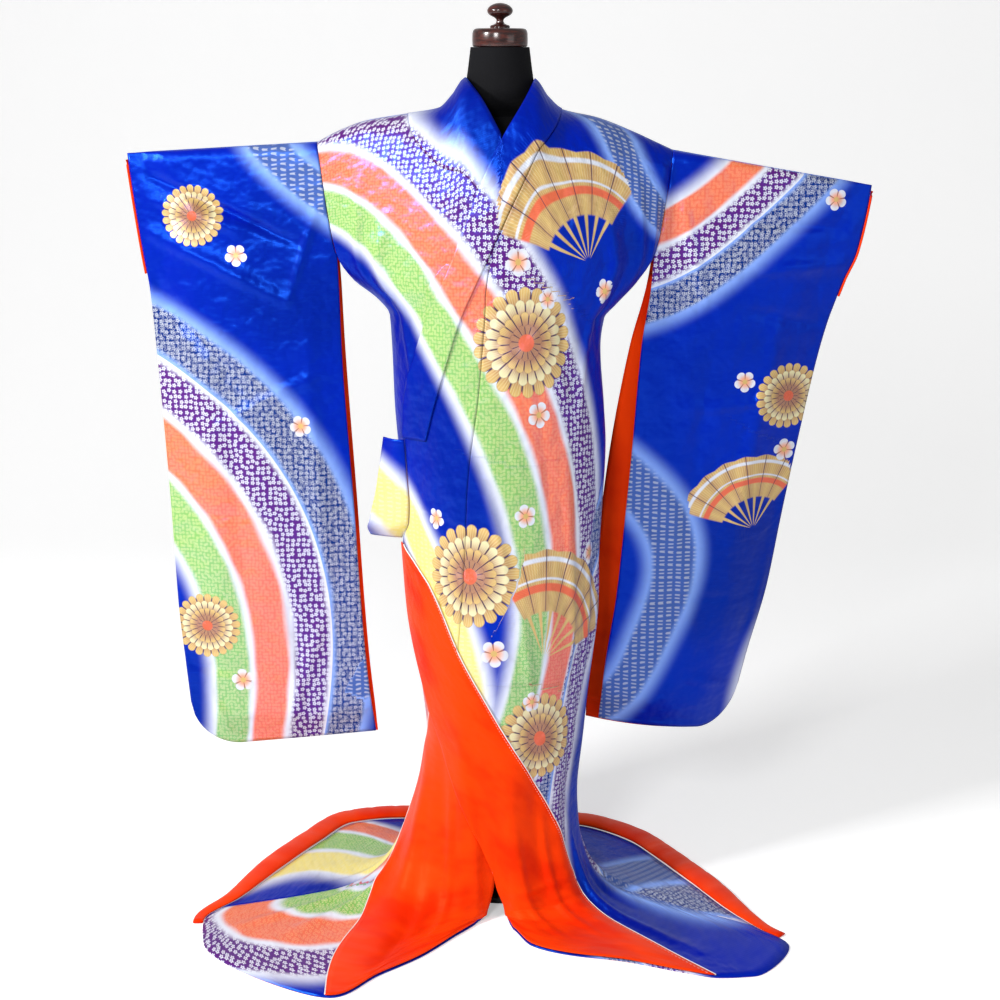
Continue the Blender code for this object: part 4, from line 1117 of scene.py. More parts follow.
def use_group(tree, group, inputs):
    """Add a shader node group by its name."""
    return add_node(tree, "ShaderNodeGroup", inputs, node_tree=bpy.data.node_groups[group]).outputs


def polar(tree, vector):
    """Distance and direction of a place from the middle of a motif."""
    parts = parts_of(tree, vector)
    squares = [maths(tree, "MULTIPLY", parts[axis], parts[axis]) for axis in ("X", "Y")]
    away = maths(tree, "SQRT", maths(tree, "ADD", *squares))
    return away, maths(tree, "ARCTAN2", parts["Y"], parts["X"])


def between(tree, value, low, high, soft):
    """1 between two values, with soft ends."""
    rise = smooth_range(tree, value, low - soft, low + soft)
    return maths(tree, "MULTIPLY", rise, smooth_range(tree, value, high + soft, high - soft))


def pick(tree, number, colours):
    """Colour by a whole number, from a ramp with plain steps."""
    share = maths(tree, "DIVIDE", number, float(len(colours)))
    item = add_node(tree, "ShaderNodeValToRGB", (("Fac", share),))
    item.color_ramp.interpolation = "CONSTANT"
    stops = item.color_ramp.elements
    stops[0].position, stops[0].color = 0.0, (*colours[0], 1.0)
    stops[1].position, stops[1].color = 1.0 / len(colours), (*colours[1], 1.0)
    for i, colour in enumerate(colours[2:], 2):
        stops.new(i / len(colours)).color = (*colour, 1.0)
    return item.outputs[0]


def marks_group():
    """Small scattered marks: rings of tied dots and five-petalled blossoms."""
    tree, given, made = new_group("Scattered marks", (("Cloth", "Vector"), ("Scale", "Float")),
                                  (("Ring", "Float"), ("Blossom", "Float")))
    cells = add_node(tree, "ShaderNodeTexVoronoi", (("Vector", given["Cloth"]), ("Scale", given["Scale"])),
                     voronoi_dimensions="2D", feature="F1")
    cells.inputs["Randomness"].default_value = 0.45
    here = scaled(tree, given["Cloth"], given["Scale"])
    centre = scaled(tree, cells.outputs["Position"], given["Scale"])
    away = add_node(tree, "ShaderNodeVectorMath", ((0, here), (1, centre)), operation="SUBTRACT")
    reach, turn = polar(tree, away.outputs[0])
    ring = maths(tree, "ABSOLUTE", maths(tree, "SUBTRACT", reach, 0.28))
    tree.links.new(smooth_range(tree, ring, 0.15, 0.06), made["Ring"])
    petals = maths(tree, "ABSOLUTE", maths(tree, "COSINE", maths(tree, "MULTIPLY", turn, 2.5)))
    rim = maths(tree, "MULTIPLY_ADD", petals, 0.22, 0.24)
    petal = smooth_range(tree, maths(tree, "SUBTRACT", rim, reach), 0.0, 0.06)
    tree.links.new(maths(tree, "MULTIPLY", petal, smooth_range(tree, reach, 0.05, 0.12)), made["Blossom"])
    return tree


def mist_group(palette):
    """Strips of mist: each has its own colour and small marks, and fades into a pale halo at its edges."""
    tree, given, made = new_group(
        "Mist", (("Cloth", "Vector"), ("Mist", "Vector"), ("Ground", "Color")), (("Color", "Color"),)
    )
    strip, depth, along = parts_of(tree, given["Mist"])
    share = maths(tree, "FRACT", strip)
    off_middle = maths(tree, "ABSOLUTE", maths(tree, "MULTIPLY_ADD", share, 2.0, -1.0))
    middle = maths(tree, "SUBTRACT", 1.0, off_middle)
    softness = maths(tree, "MULTIPLY_ADD", clouds(tree, given["Cloth"], 11.0, 1.0), 0.36, 0.14)
    core = smooth_range(tree, middle, 0.0, softness)
    colour = pick(tree, strip, [palette[row.colour] for row in STRIPS])
    accent = pick(tree, strip, [palette[row.accent] for row in STRIPS])
    edge = pick(tree, strip, [palette[row.edge] for row in STRIPS])
    shares = pick(tree, strip, [(row.rings, row.blossoms, row.dashes) for row in STRIPS])
    small = use_group(tree, "Scattered marks", (("Cloth", given["Cloth"]), ("Scale", SMALL_MARKS)))
    large = use_group(tree, "Scattered marks", (("Cloth", given["Cloth"]), ("Scale", LARGE_MARKS)))
    place = parts_of(tree, given["Cloth"])
    wave = maths(tree, "SINE", maths(tree, "MULTIPLY", along, DASH_WAVE))
    rows = maths(tree, "SINE", maths(tree, "MULTIPLY_ADD", place["Y"], DASH_ROWS, wave))
    sway = maths(tree, "MULTIPLY", rows, 0.8)
    breaks = maths(tree, "SINE", maths(tree, "MULTIPLY_ADD", place["X"], DASH_BREAKS, sway))
    lines, pieces = smooth_range(tree, rows, 0.0, 0.5), smooth_range(tree, breaks, -0.6, 0.0)
    dashes = maths(tree, "MULTIPLY", lines, pieces)
    weights = add_node(tree, "ShaderNodeSeparateColor", ((0, shares),)).outputs
    mark = maths(tree, "MULTIPLY", weights[0], small["Ring"])
    mark = maths(tree, "MULTIPLY_ADD", weights[1], large["Blossom"], mark)
    mark = maths(tree, "MULTIPLY_ADD", weights[2], dashes, mark)
    coloured = blend(tree, maths(tree, "MINIMUM", mark, 1.0), colour, accent)
    coloured = blend(tree, core, edge, coloured)
    halo = smooth_range(tree, depth, *HALO)
    tree.links.new(blend(tree, maths(tree, "POWER", halo, 1.4), given["Ground"], coloured), made["Color"])
    return tree


def petal_layer(tree, reach, turn, petals, rim, depth, phase):
    """Mask of one ring of petals, and the lines between them."""
    swing = maths(tree, "MULTIPLY_ADD", turn, petals / 2.0, phase)
    lobe = maths(tree, "ABSOLUTE", maths(tree, "COSINE", swing))
    edge = maths(tree, "MULTIPLY_ADD", maths(tree, "POWER", lobe, 0.45), depth, rim - depth)
    inside = smooth_range(tree, maths(tree, "SUBTRACT", edge, reach), 0.0, 0.03)
    return inside, maths(tree, "MULTIPLY", inside, smooth_range(tree, lobe, 0.14, 0.34))


def motif_group(name):
    """Empty group of a motif: its place, and the colour and gold of what lies under it."""
    inputs = (("Motif", "Vector"), ("Ground", "Color"), ("Gold", "Float"))
    return new_group(name, inputs, (("Color", "Color"), ("Gold", "Float")))


def stitched(tree, colour, stitches, palette):
    """Pale threads over a colour, where a wave of stitches is high."""
    share = maths(tree, "MULTIPLY", smooth_range(tree, stitches, 0.1, 0.9), 0.35)
    return blend(tree, share, colour, palette["cream"])


def chrysanthemum_group(palette):
    """Chrysanthemum head in gold, brown and cream thread, in rings of petals."""
    tree, given, made = motif_group("Chrysanthemum")
    here = between(tree, parts_of(tree, given["Motif"])["Z"], 0.8, 1.2, 0.1)
    reach, turn = polar(tree, given["Motif"])
    slant = maths(tree, "MULTIPLY", reach, 14.0)
    stitches = maths(tree, "SINE", maths(tree, "MULTIPLY_ADD", turn, 110.0, slant))
    colour, gold = given["Ground"], given["Gold"]
    for rim, count, thread, phase in PETAL_RINGS:
        inside, petal = petal_layer(tree, reach, turn, count, rim, PETAL_DEPTH * rim, phase)
        tip = smooth_range(tree, reach, rim * 0.55, rim * 0.95)
        shade = stitched(tree, blend(tree, tip, palette["brown"], palette[thread]), stitches, palette)
        colour = blend(tree, maths(tree, "MULTIPLY", inside, here), colour, palette["dark"])
        colour = blend(tree, maths(tree, "MULTIPLY", petal, here), colour, shade)
        gold = maths(tree, "MAXIMUM", gold, maths(tree, "MULTIPLY", petal, here))
    heart = maths(tree, "MULTIPLY", smooth_range(tree, reach, 0.17, 0.14), here)
    tree.links.new(blend(tree, heart, colour, palette["orange"]), made["Color"])
    tree.links.new(gold, made["Gold"])
    return tree


def fan_group(palette):
    """Open folding fan in gold thread, with coloured arcs across its leaf and ribs below it."""
    tree, given, made = motif_group("Fan")
    parts = parts_of(tree, given["Motif"])
    here = smooth_range(tree, parts["Z"], 1.7, 1.9)
    rise = maths(tree, "ADD", parts["Y"], FAN_PIVOT)
    squares = [maths(tree, "MULTIPLY", value, value) for value in (parts["X"], rise)]
    reach = maths(tree, "DIVIDE", maths(tree, "SQRT", maths(tree, "ADD", *squares)), FAN_LENGTH)
    turn = maths(tree, "ARCTAN2", parts["X"], rise)
    inside = maths(tree, "MULTIPLY", between(tree, turn, -FAN_HALF_ANGLE, FAN_HALF_ANGLE, 0.02), here)
    pleat = maths(tree, "PINGPONG", maths(tree, "MULTIPLY", turn, FAN_PLEATS), 1.0)
    rim = maths(tree, "MULTIPLY_ADD", pleat, 0.025, 0.95)
    leaf = maths(tree, "MULTIPLY", between(tree, reach, 0.42, 0.97, 0.012),
                 smooth_range(tree, maths(tree, "SUBTRACT", rim, reach), 0.0, 0.015))
    below_leaf = between(tree, reach, 0.05, 0.44, 0.02)
    rib = maths(tree, "MULTIPLY", below_leaf, smooth_range(tree, pleat, 0.42, 0.22))
    stitches = maths(tree, "SINE", maths(tree, "MULTIPLY", turn, 190.0))
    shade = blend(tree, maths(tree, "MULTIPLY", pleat, 0.55), palette["gold"], palette["brown"])
    shade = stitched(tree, shade, stitches, palette)
    for arc in FAN_ARCS:
        shade = blend(tree, between(tree, reach, arc.inner, arc.outer, arc.soft), shade, palette[arc.thread])
    shade = blend(tree, smooth_range(tree, pleat, 0.93, 0.99), shade, palette["dark"])
    mask = maths(tree, "MULTIPLY", maths(tree, "MAXIMUM", leaf, rib), inside)
    tree.links.new(blend(tree, mask, given["Ground"], shade), made["Color"])
    tree.links.new(maths(tree, "MAXIMUM", given["Gold"], mask), made["Gold"])
    return tree


def blossom_group(palette):
    """Small five-petalled blossom in white and gold thread."""
    tree, given, made = motif_group("Blossom")
    here = smooth_range(tree, parts_of(tree, given["Motif"])["Z"], 0.7, 0.9)
    reach, turn = polar(tree, given["Motif"])
    inside, petal = petal_layer(tree, reach, turn, 5.0, 0.95, 0.42, 0.0)
    shade = blend(tree, smooth_range(tree, reach, 0.25, 0.80), palette["peach"], palette["white"])
    colour = blend(tree, maths(tree, "MULTIPLY", inside, here), given["Ground"], palette["brown"])
    colour = blend(tree, maths(tree, "MULTIPLY", petal, here), colour, shade)
    heart = maths(tree, "MULTIPLY", smooth_range(tree, reach, 0.24, 0.18), here)
    tree.links.new(blend(tree, heart, colour, palette["gold"]), made["Color"])
    tree.links.new(maths(tree, "MAXIMUM", given["Gold"], maths(tree, "MULTIPLY", inside, here)), made["Gold"])
    return tree


def weave_group():
    """Satin weave: fine threads along the cloth with slubs."""
    tree, given, made = new_group(
        "Satin weave", (("Cloth", "Vector"),), (("Height", "Float"), ("Slub", "Float"))
    )
    place = parts_of(tree, given["Cloth"])
    warp = maths(tree, "SINE", maths(tree, "MULTIPLY", place["X"], WARP))
    slant = maths(tree, "MULTIPLY", place["X"], WEFT_SLANT)
    weft = maths(tree, "SINE", maths(tree, "MULTIPLY_ADD", place["Y"], WEFT, slant))
    inputs = ((0, given["Cloth"]), (1, SLUB_STRETCH))
    stretched = add_node(tree, "ShaderNodeVectorMath", inputs, operation="MULTIPLY").outputs[0]
    slub = clouds(tree, stretched, 4.0, 3.0)
    threads = maths(tree, "MULTIPLY_ADD", warp, 0.35, maths(tree, "MULTIPLY", weft, 0.25))
    tree.links.new(maths(tree, "MULTIPLY_ADD", slub, 0.8, threads), made["Height"])
    tree.links.new(slub, made["Slub"])
    return tree


def cloth_place(tree):
    """The cloth's own flat coordinates."""
    return add_node(tree, "ShaderNodeUVMap", uv_map="cloth").outputs[0]


def new_material(name, tint=(1.0, 1.0, 1.0), **sockets):
    """Material with a Principled BSDF whose constants are set on its own sockets."""
    mat = bpy.data.materials.new(name)
    mat.use_nodes = True
    shader = mat.node_tree.nodes["Principled BSDF"]
    for key, value in sockets.items():
        shader.inputs[key.replace("_", " ")].default_value = value
    for key in ("Sheen Tint", "Specular Tint"):
        shader.inputs[key].default_value = (*tint, 1.0)
    return mat, mat.node_tree, shader


def bump(tree, shader, height, strength, distance):
    item = add_node(tree, "ShaderNodeBump", (("Height", height),))
    item.inputs["Strength"].default_value = strength
    item.inputs["Distance"].default_value = distance
    tree.links.new(item.outputs[0], shader.inputs["Normal"])


def own_attribute(tree, name):
    """Coordinates written on the points of a piece."""
    item = add_node(tree, "ShaderNodeAttribute", attribute_name=name, attribute_type="GEOMETRY")
    return item.outputs["Vector"]


def satin_material(satin):
    """Blue satin with its bands of mist and its embroidery."""
    mat, tree, shader = new_material(
        "blue satin", satin.shine, Sheen_Weight=satin.sheen, Sheen_Roughness=0.30,
        Specular_IOR_Level=1.0, IOR=1.75
    )
    place = cloth_place(tree)
    weave = use_group(tree, "Satin weave", (("Cloth", place),))
    cloud = smooth_range(tree, clouds(tree, place, 3.2), 0.35, 0.70)
    ground = blend(tree, cloud, satin.blue, satin.deep_blue)
    slubs = maths(tree, "MULTIPLY", smooth_range(tree, weave["Slub"], 0.50, 0.80), 0.25)
    ground = blend(tree, slubs, ground, satin.thread_light)
    inputs = (("Cloth", place), ("Mist", own_attribute(tree, "mist")), ("Ground", ground))
    made = {"Color": use_group(tree, "Mist", inputs)["Color"], "Gold": 0.0}
    for name, source in (("Chrysanthemum", "motif"), ("Fan", "motif"), ("Blossom", "blossom")):
        inputs = (("Motif", own_attribute(tree, source)), ("Ground", made["Color"]), ("Gold", made["Gold"]))
        made = use_group(tree, name, inputs)
    gold = made["Gold"]
    tree.links.new(made["Color"], shader.inputs["Base Color"])
    tree.links.new(maths(tree, "MULTIPLY", gold, GOLD_METAL), shader.inputs["Metallic"])
    roughness = maths(tree, "MULTIPLY_ADD", gold, GOLD_ROUGHNESS, satin.roughness)
    tree.links.new(roughness, shader.inputs["Roughness"])
    reach, turn = polar(tree, own_attribute(tree, "motif"))
    threads = maths(tree, "SINE", maths(tree, "MULTIPLY", turn, 150.0))
    padding = maths(tree, "MULTIPLY", smooth_range(tree, reach, 1.02, 0.94),
                    maths(tree, "MULTIPLY_ADD", threads, 0.12, 0.9))
    height = maths(tree, "MULTIPLY_ADD", clouds(tree, place, 26.0), 7.0, padding)
    height = maths(tree, "MULTIPLY_ADD", weave["Height"], 0.10, height)
    bump(tree, shader, height, 0.6, 0.0010)
    return mat


def lining_material(name, lining, edged=False):
    """Red silk lining; an edged one has a pale piping and a row of stitches by its free edge."""
    mat, tree, shader = new_material(
        name, lining.shine, Roughness=lining.roughness, Sheen_Weight=0.10, Sheen_Roughness=0.4,
        Specular_IOR_Level=0.40
    )
    place = cloth_place(tree)
    weave = use_group(tree, "Satin weave", (("Cloth", place),))
    cloud = smooth_range(tree, clouds(tree, place, 7.0, 3.0), 0.35, 0.72)
    colour = blend(tree, cloud, lining.red, lining.deep_red)
    threads = maths(tree, "MULTIPLY", weave["Height"], 0.12)
    height = maths(tree, "MULTIPLY_ADD", clouds(tree, place, 13.0), 9.0, threads)
    if edged:
        parts = parts_of(tree, place)
        off_line = maths(tree, "ABSOLUTE", maths(tree, "SUBTRACT", parts["X"], 0.0075))
        line = smooth_range(tree, off_line, 0.0009, 0.0004)
        dash = smooth_range(tree, maths(tree, "SINE", maths(tree, "MULTIPLY", parts["Y"], 900.0)), -0.1, 0.2)
        stitch = maths(tree, "MULTIPLY", line, dash)
        colour = blend(tree, stitch, colour, lining.stitch)
        height = maths(tree, "MULTIPLY_ADD", stitch, 0.8, height)
    tree.links.new(colour, shader.inputs["Base Color"])
    bump(tree, shader, height, 0.5, 0.0008)
    return mat


def piping_material(colour):
    """Twisted pale piping."""
    mat, tree, shader = new_material("white piping", Roughness=0.55, Sheen_Weight=0.2)
    twist = clouds(tree, cloth_place(tree), 160.0, dimensions="3D")
    tree.links.new(blend(tree, maths(tree, "MULTIPLY", twist, 0.35), colour, (0.55, 0.45, 0.45)),
                   shader.inputs["Base Color"])
    bump(tree, shader, twist, 0.3, 0.0005)
    return mat


def object_place(tree, scale=(1.0, 1.0, 1.0)):
    """Object coordinates, scaled."""
    where = add_node(tree, "ShaderNodeTexCoord").outputs["Object"]
    item = add_node(tree, "ShaderNodeMapping", (("Vector", where),))
    item.inputs["Scale"].default_value = scale
    return item.outputs[0]


def wood_material(form):
    """Lacquered dark wood with a fine grain."""
    mat, tree, shader = new_material("lacquered wood", Roughness=0.24, Coat_Weight=0.35, Coat_Roughness=0.05)
    inputs = (("Vector", object_place(tree, (30.0, 30.0, 160.0))), ("Scale", 1.6), ("Detail", 6.0),
              ("Roughness", 0.65))
    grain = add_node(tree, "ShaderNodeTexNoise", inputs).outputs[0]
    tree.links.new(blend(tree, smooth_range(tree, grain, 0.38, 0.66), form.wood_dark, form.wood_red),
                   shader.inputs["Base Color"])
    bump(tree, shader, grain, 0.06, 0.0006)
    return mat


def jersey_material(form):
    """Black knitted cover of the dress form."""
    mat, tree, shader = new_material("black jersey", Roughness=0.85, Specular_IOR_Level=0.15)
    inputs = (("Vector", object_place(tree)), ("Scale", 180.0), ("Distortion", 1.5), ("Detail", 2.0))
    knit = add_node(tree, "ShaderNodeTexWave", inputs, bands_direction="X").outputs[1]
    fuzz = clouds(tree, object_place(tree), 420.0, dimensions="3D")
    tree.links.new(blend(tree, maths(tree, "MULTIPLY", fuzz, 0.5), form.jersey, (0.009, 0.009, 0.011)),
                   shader.inputs["Base Color"])
    bump(tree, shader, maths(tree, "MULTIPLY_ADD", knit, 0.5, fuzz), 0.35, 0.0006)
    return mat


def paint_material(form):
    """Black satin paint of the stand, with faint dust."""
    mat, tree, shader = new_material("black paint", Roughness=0.38)
    dust = clouds(tree, object_place(tree), 60.0, 5.0, "3D")
    share = maths(tree, "MULTIPLY", smooth_range(tree, dust, 0.5, 0.8), 0.4)
    tree.links.new(blend(tree, share, form.paint, (0.05, 0.05, 0.052)), shader.inputs["Base Color"])
    bump(tree, shader, dust, 0.05, 0.0004)
    return mat


def looks():
    """All materials of the kimono and its stand, made once."""
    if "blue satin" in bpy.data.materials:
        return bpy.data.materials
    scene = bpy.context.scene
    satin, lining, form = scene.kimono_satin, scene.kimono_lining, scene.kimono_form
    palette = {name: tuple(getattr(satin, name)) for name in (*STRIP_NAMES, *THREADS)}
    marks_group()
    mist_group(palette)
    chrysanthemum_group(palette)
    fan_group(palette)
    blossom_group(palette)
    weave_group()
    satin_material(satin)
    lining_material("red lining", lining)
    lining_material("red lining edge", lining, edged=True)
    piping_material(lining.piping)
    wood_material(form)
    jersey_material(form)
    paint_material(form)
    return bpy.data.materials


# Sizes and colours that a user would change


def colour_property(name, description, default):
    return FloatVectorProperty(
        name=name, description=description, default=default, subtype="COLOR", size=3, min=0.0, max=1.0
    )


def share_property(name, description, default):
    return FloatProperty(name=name, description=description, default=default, min=0.0, max=1.0)


def length_property(name, description, default, low, high):
    return FloatProperty(
        name=name, description=description, default=default, min=low, max=high, unit="LENGTH"
    )


class KimonoSatin(PropertyGroup):
    thickness: length_property("Cloth", "Thickness of the robe's cloth with its lining", 0.0020, 0.001, 0.004)
    collar_thickness: length_property("Collar", "Thickness of the collar band", 0.0028, 0.001, 0.005)
    roughness: share_property("Roughness", "How dull the satin is", 0.32)
    sheen: share_property("Sheen", "Soft light along the folds", 0.30)
    shine: colour_property("Shine", "Tint of the light on the satin", (0.020, 0.180, 1.000))
    blue: colour_property("Blue", "Ground of the satin", (0.000, 0.004, 0.360))
    deep_blue: colour_property("Deep blue", "Darker clouds of the ground", (0.000, 0.001, 0.230))
    thread_light: colour_property("Thread", "Light on single threads", (0.002, 0.024, 0.420))
    green: colour_property("Green", "Dappled green of the bands", (0.250, 0.520, 0.055))
    yellow: colour_property("Yellow", "Yellow of the bands", (0.930, 0.780, 0.160))
    peach: colour_property("Peach", "Pale marks on orange", (0.960, 0.440, 0.200))
    orange: colour_property("Orange", "Orange of the bands", (0.880, 0.170, 0.008))
    violet: colour_property("Violet", "Violet of the bands", (0.110, 0.004, 0.140))
    navy: colour_property("Navy", "Dark strip with pale marks", (0.006, 0.014, 0.120))
    silver: colour_property("Silver", "Ground of the dashed strip", (0.070, 0.120, 0.340))
    grey: colour_property("Grey", "Marks on navy and on the dashed strip", (0.520, 0.550, 0.600))
    white: colour_property("White", "Haloes and blossoms", (0.800, 0.830, 0.880))
    haze: colour_property("Haze", "Pale blue halo of the dark strips", (0.260, 0.420, 0.880))
    cream: colour_property("Cream", "Pale marks and threads", (0.900, 0.820, 0.420))
    gold: colour_property("Gold", "Gold thread", (0.760, 0.500, 0.100))
    brown: colour_property("Brown", "Brown thread", (0.440, 0.170, 0.025))
    dark: colour_property("Outline", "Dark ground between the petals", (0.090, 0.035, 0.010))


class KimonoLining(PropertyGroup):
    roughness: share_property("Roughness", "How dull the lining is", 0.42)
    red: colour_property("Red", "Lining", (0.940, 0.048, 0.002))
    deep_red: colour_property("Deep red", "Darker clouds of the lining", (0.760, 0.020, 0.001))
    shine: colour_property("Shine", "Tint of the light on the lining", (1.000, 0.180, 0.040))
    stitch: colour_property("Stitches", "Thread along the turned edge", (0.900, 0.550, 0.500))
    piping: colour_property("Piping", "Pale edge of the turned front", (0.850, 0.800, 0.790))
    roll_width: length_property("Hem width", "Half width of the padded hem", ROLL_HALF_WIDTH, 0.005, 0.05)
    roll_height: length_property("Hem height", "Height of the padded hem", ROLL_HEIGHT, 0.005, 0.05)


class KimonoForm(PropertyGroup):
    sides: IntProperty(name="Sides", description="Steps round the form", default=96, min=24, max=256)
    jersey: colour_property("Cover", "Black cover of the form", (0.003, 0.003, 0.004))
    wood_dark: colour_property("Wood, dark", "Dark grain", (0.014, 0.003, 0.003))
    wood_red: colour_property("Wood, red", "Red-brown grain", (0.075, 0.014, 0.009))
    paint: colour_property("Paint", "Stand", (0.012, 0.012, 0.013))


class KimonoStage(PropertyGroup):
    floor: colour_property("Floor", "Pale floor and backdrop", (0.90, 0.90, 0.90))
    sky: FloatProperty(name="Sky", description="Even light from all round", default=0.38, min=0.0, max=5.0)
    glow: FloatProperty(
        name="Glow", description="How much brighter the backdrop looks to the camera", default=0.36,
        min=0.0, max=2.0
    )
    distance: length_property("Distance", "Camera before the form", 2.9, 1.0, 20.0)
    height: length_property("Height", "Camera above the floor", 1.5, 0.1, 5.0)
    tilt: FloatProperty(
        name="Tilt", description="Camera's downward tilt", default=math.radians(15.0), min=0.0, max=1.5,
        subtype="ANGLE", unit="ROTATION"
    )
    lens: FloatProperty(
        name="Lens", description="Focal length in millimetres", default=62.1, min=10.0, max=300.0
    )


# Operators


def rows_from(top, bottom, power=1.35):
    """Level of a share down a panel, with the rows closer together at its top."""
    return lambda down: top - (top - bottom) * down**power


class KIMONO_OT_back_panels(Operator):
    """Make the two back panels, with the neck cut out of their top edge"""

    bl_idname = "kimono.back_panels"
    bl_label = "Back panels"

    def execute(self, context):
        look = looks()
        satin = context.scene.kimono_satin
        level_at = rows_from(SHOULDER, HEM)
        for side, name, neck in ((1, "left", COLLAR_LEFT[0].seam), (-1, "right", COLLAR_RIGHT[0].seam)):

            def place(across, down, side=side, neck=neck):
                first, last = (90.0, 180.0) if side > 0 else (180.0, 270.0)
                angle = mixed(first, last, across)
                level = level_at(down)
                x = half_width(SHOULDER, side) * abs(math.sin(math.radians(angle)))
                reach = min(x / (abs(neck) + NAPE_CLEAR), 1.0)
                drop = (NAPE_SEAM + NAPE_CLEAR) * math.sqrt(1.0 - reach * reach)
                level -= drop * max(level - NAPE_KEEP, 0.0) / (SHOULDER - NAPE_KEEP)
                return chart(angle, level, BACK), flat_place(angle, level, BACK)

            cloth_sheet("cloth_back_" + name, "back", place, [look["blue satin"], look["red lining"]],
                        satin.thickness, ("back_" + name,), "back")
        return {"FINISHED"}


class KIMONO_OT_front_panels(Operator):
    """Make the front panels and the overlap panel"""

    bl_idname = "kimono.front_panels"
    bl_label = "Front panels"

    def execute(self, context):
        look = looks()
        satin = context.scene.kimono_satin
        left_seam, right_seam = Curve(COLLAR_LEFT, "seam"), Curve(COLLAR_RIGHT, "seam")
        okumi, fold, under = Curve(OKUMI_SEAM, "angle"), Curve(LEFT_FOLD, "angle"), Curve(RIGHT_FOLD, "angle")
        level_at = rows_from(SHOULDER, HEM)

        def left(across, down):
            level = level_at(down)
            if level > OKUMI_TOP:
                edge = angle_of(left_seam(level), level)
            elif level >= OKUMI_END:
                edge = okumi(level)
            else:
                edge = mixed(okumi(OKUMI_END), fold(level), ramp(level, OKUMI_END, OKUMI_END - SEAM_RUN_OUT))
            angle = mixed(edge, 90.0, across)
            return chart(angle, level, FRONT, front_layer(angle, level)), flat_place(angle, level, FRONT)

        def overlap(across, down):
            level = mixed(OKUMI_TOP, OKUMI_END, down)
            angle = mixed(fold(level), okumi(level) - OKUMI_SEAM_ANGLE, across)
            return chart(angle, level, FRONT, front_layer(angle, level)), flat_place(angle, level, FRONT)

        def right(across, down):
            level = level_at(down)
            edge = under(level) if level < COLLAR_END else angle_of(right_seam(level), level)
            angle = mixed(-90.0, edge, across)
            return chart(angle, level, FRONT), flat_place(angle, level, FRONT)

        pair = [look["blue satin"], look["red lining"]]
        for name, grid, place in (("front_left", "front", left), ("okumi_left", "okumi", overlap),
                                  ("front_right", "front", right)):
            cloth_sheet("cloth_" + name, grid, place, pair, satin.thickness, (name,), "front")
        return {"FINISHED"}


class KIMONO_OT_collars(Operator):
    """Make the collar band of each side, from the centre back down its front"""

    bl_idname = "kimono.collars"
    bl_label = "Collars"

    def execute(self, context):
        look = looks()
        satin = context.scene.kimono_satin
        for side, name, rows in ((1, "left", COLLAR_LEFT), (-1, "right", COLLAR_RIGHT)):
            edge, seam = Curve(rows, "edge"), Curve(rows, "seam")

            def place(across, down, side=side, rows=rows, edge=edge, seam=seam):
                across_band = across if side > 0 else 1.0 - across
                if down < NAPE_SHARE:
                    turn = math.radians(90.0 * down / NAPE_SHARE)
                    reach = mixed(NECK_HALF, abs(rows[0].seam), across_band)
                    x = math.sin(turn) * reach
                    level = SHOULDER - math.cos(turn) * mixed(NAPE_EDGE, NAPE_SEAM, across_band)
                    angle = 180.0 - angle_of(side * x, level)
                    return chart(angle, level, BACK, COLLAR_LAP), flat_place(angle, level, BACK)
                level = mixed(SHOULDER, COLLAR_END, (down - NAPE_SHARE) / (1.0 - NAPE_SHARE))
                angle = mixed(angle_of(edge(level), level), angle_of(seam(level), level), across_band)
                lap = front_layer(angle, level) if side > 0 else 0.0
                return chart(angle, level, FRONT, lap + COLLAR_LAP), flat_place(angle, level, FRONT)

            cloth_sheet("cloth_collar_" + name, "collar", place, [look["blue satin"], look["blue satin"]],
                        satin.collar_thickness, ("collar_" + name,), "front")
        return {"FINISHED"}


class KIMONO_OT_turned_edges(Operator):
    """Make the skirt edges that are turned outward, with their piping"""

    bl_idname = "kimono.turned_edges"
    bl_label = "Turned edges"

    def execute(self, context):
        look = looks()
        satin = context.scene.kimono_satin
        for name, top, fold_rows, turn_rows, lapped in (
            ("left", TURN_TOP, LEFT_FOLD, LEFT_TURN, True),
            ("right", UNDER_TURN_TOP, RIGHT_TURN_INNER, RIGHT_TURN, False),
        ):
            fold, turn = Curve(fold_rows, "angle"), Curve(turn_rows, "angle")

            def spot(share, down, raise_by=0.0, top=top, fold=fold, turn=turn, lapped=lapped):
                level = mixed(top, HEM, down)
                angle = mixed(turn(level), fold(level), share)
                lap = LAP + FLOOR_LAP * ramp(level, *TURN_FLOOR) + raise_by
                return chart(angle, level, FRONT, lap + (front_layer(angle, level) if lapped else 0.0))

            def place(across, down, spot=spot):
                share = 1.0 - across
                return spot(share, down), (share * TURNED_FLAT.x, down * TURNED_FLAT.y)

            pair = [look["red lining edge"], look["red lining"]]
            cloth_sheet("cloth_turned_" + name, "turned edge", place, pair, satin.thickness,
                        ("turned_front_" + name,))
            path = [spot(0.0, i / PIPING_STEPS, PIPING_LIFT) for i in range(PIPING_STEPS + 1)]
            tube("piping_" + name, path, PIPING_RADIUS, 8, [look["white piping"]])
        return {"FINISHED"}


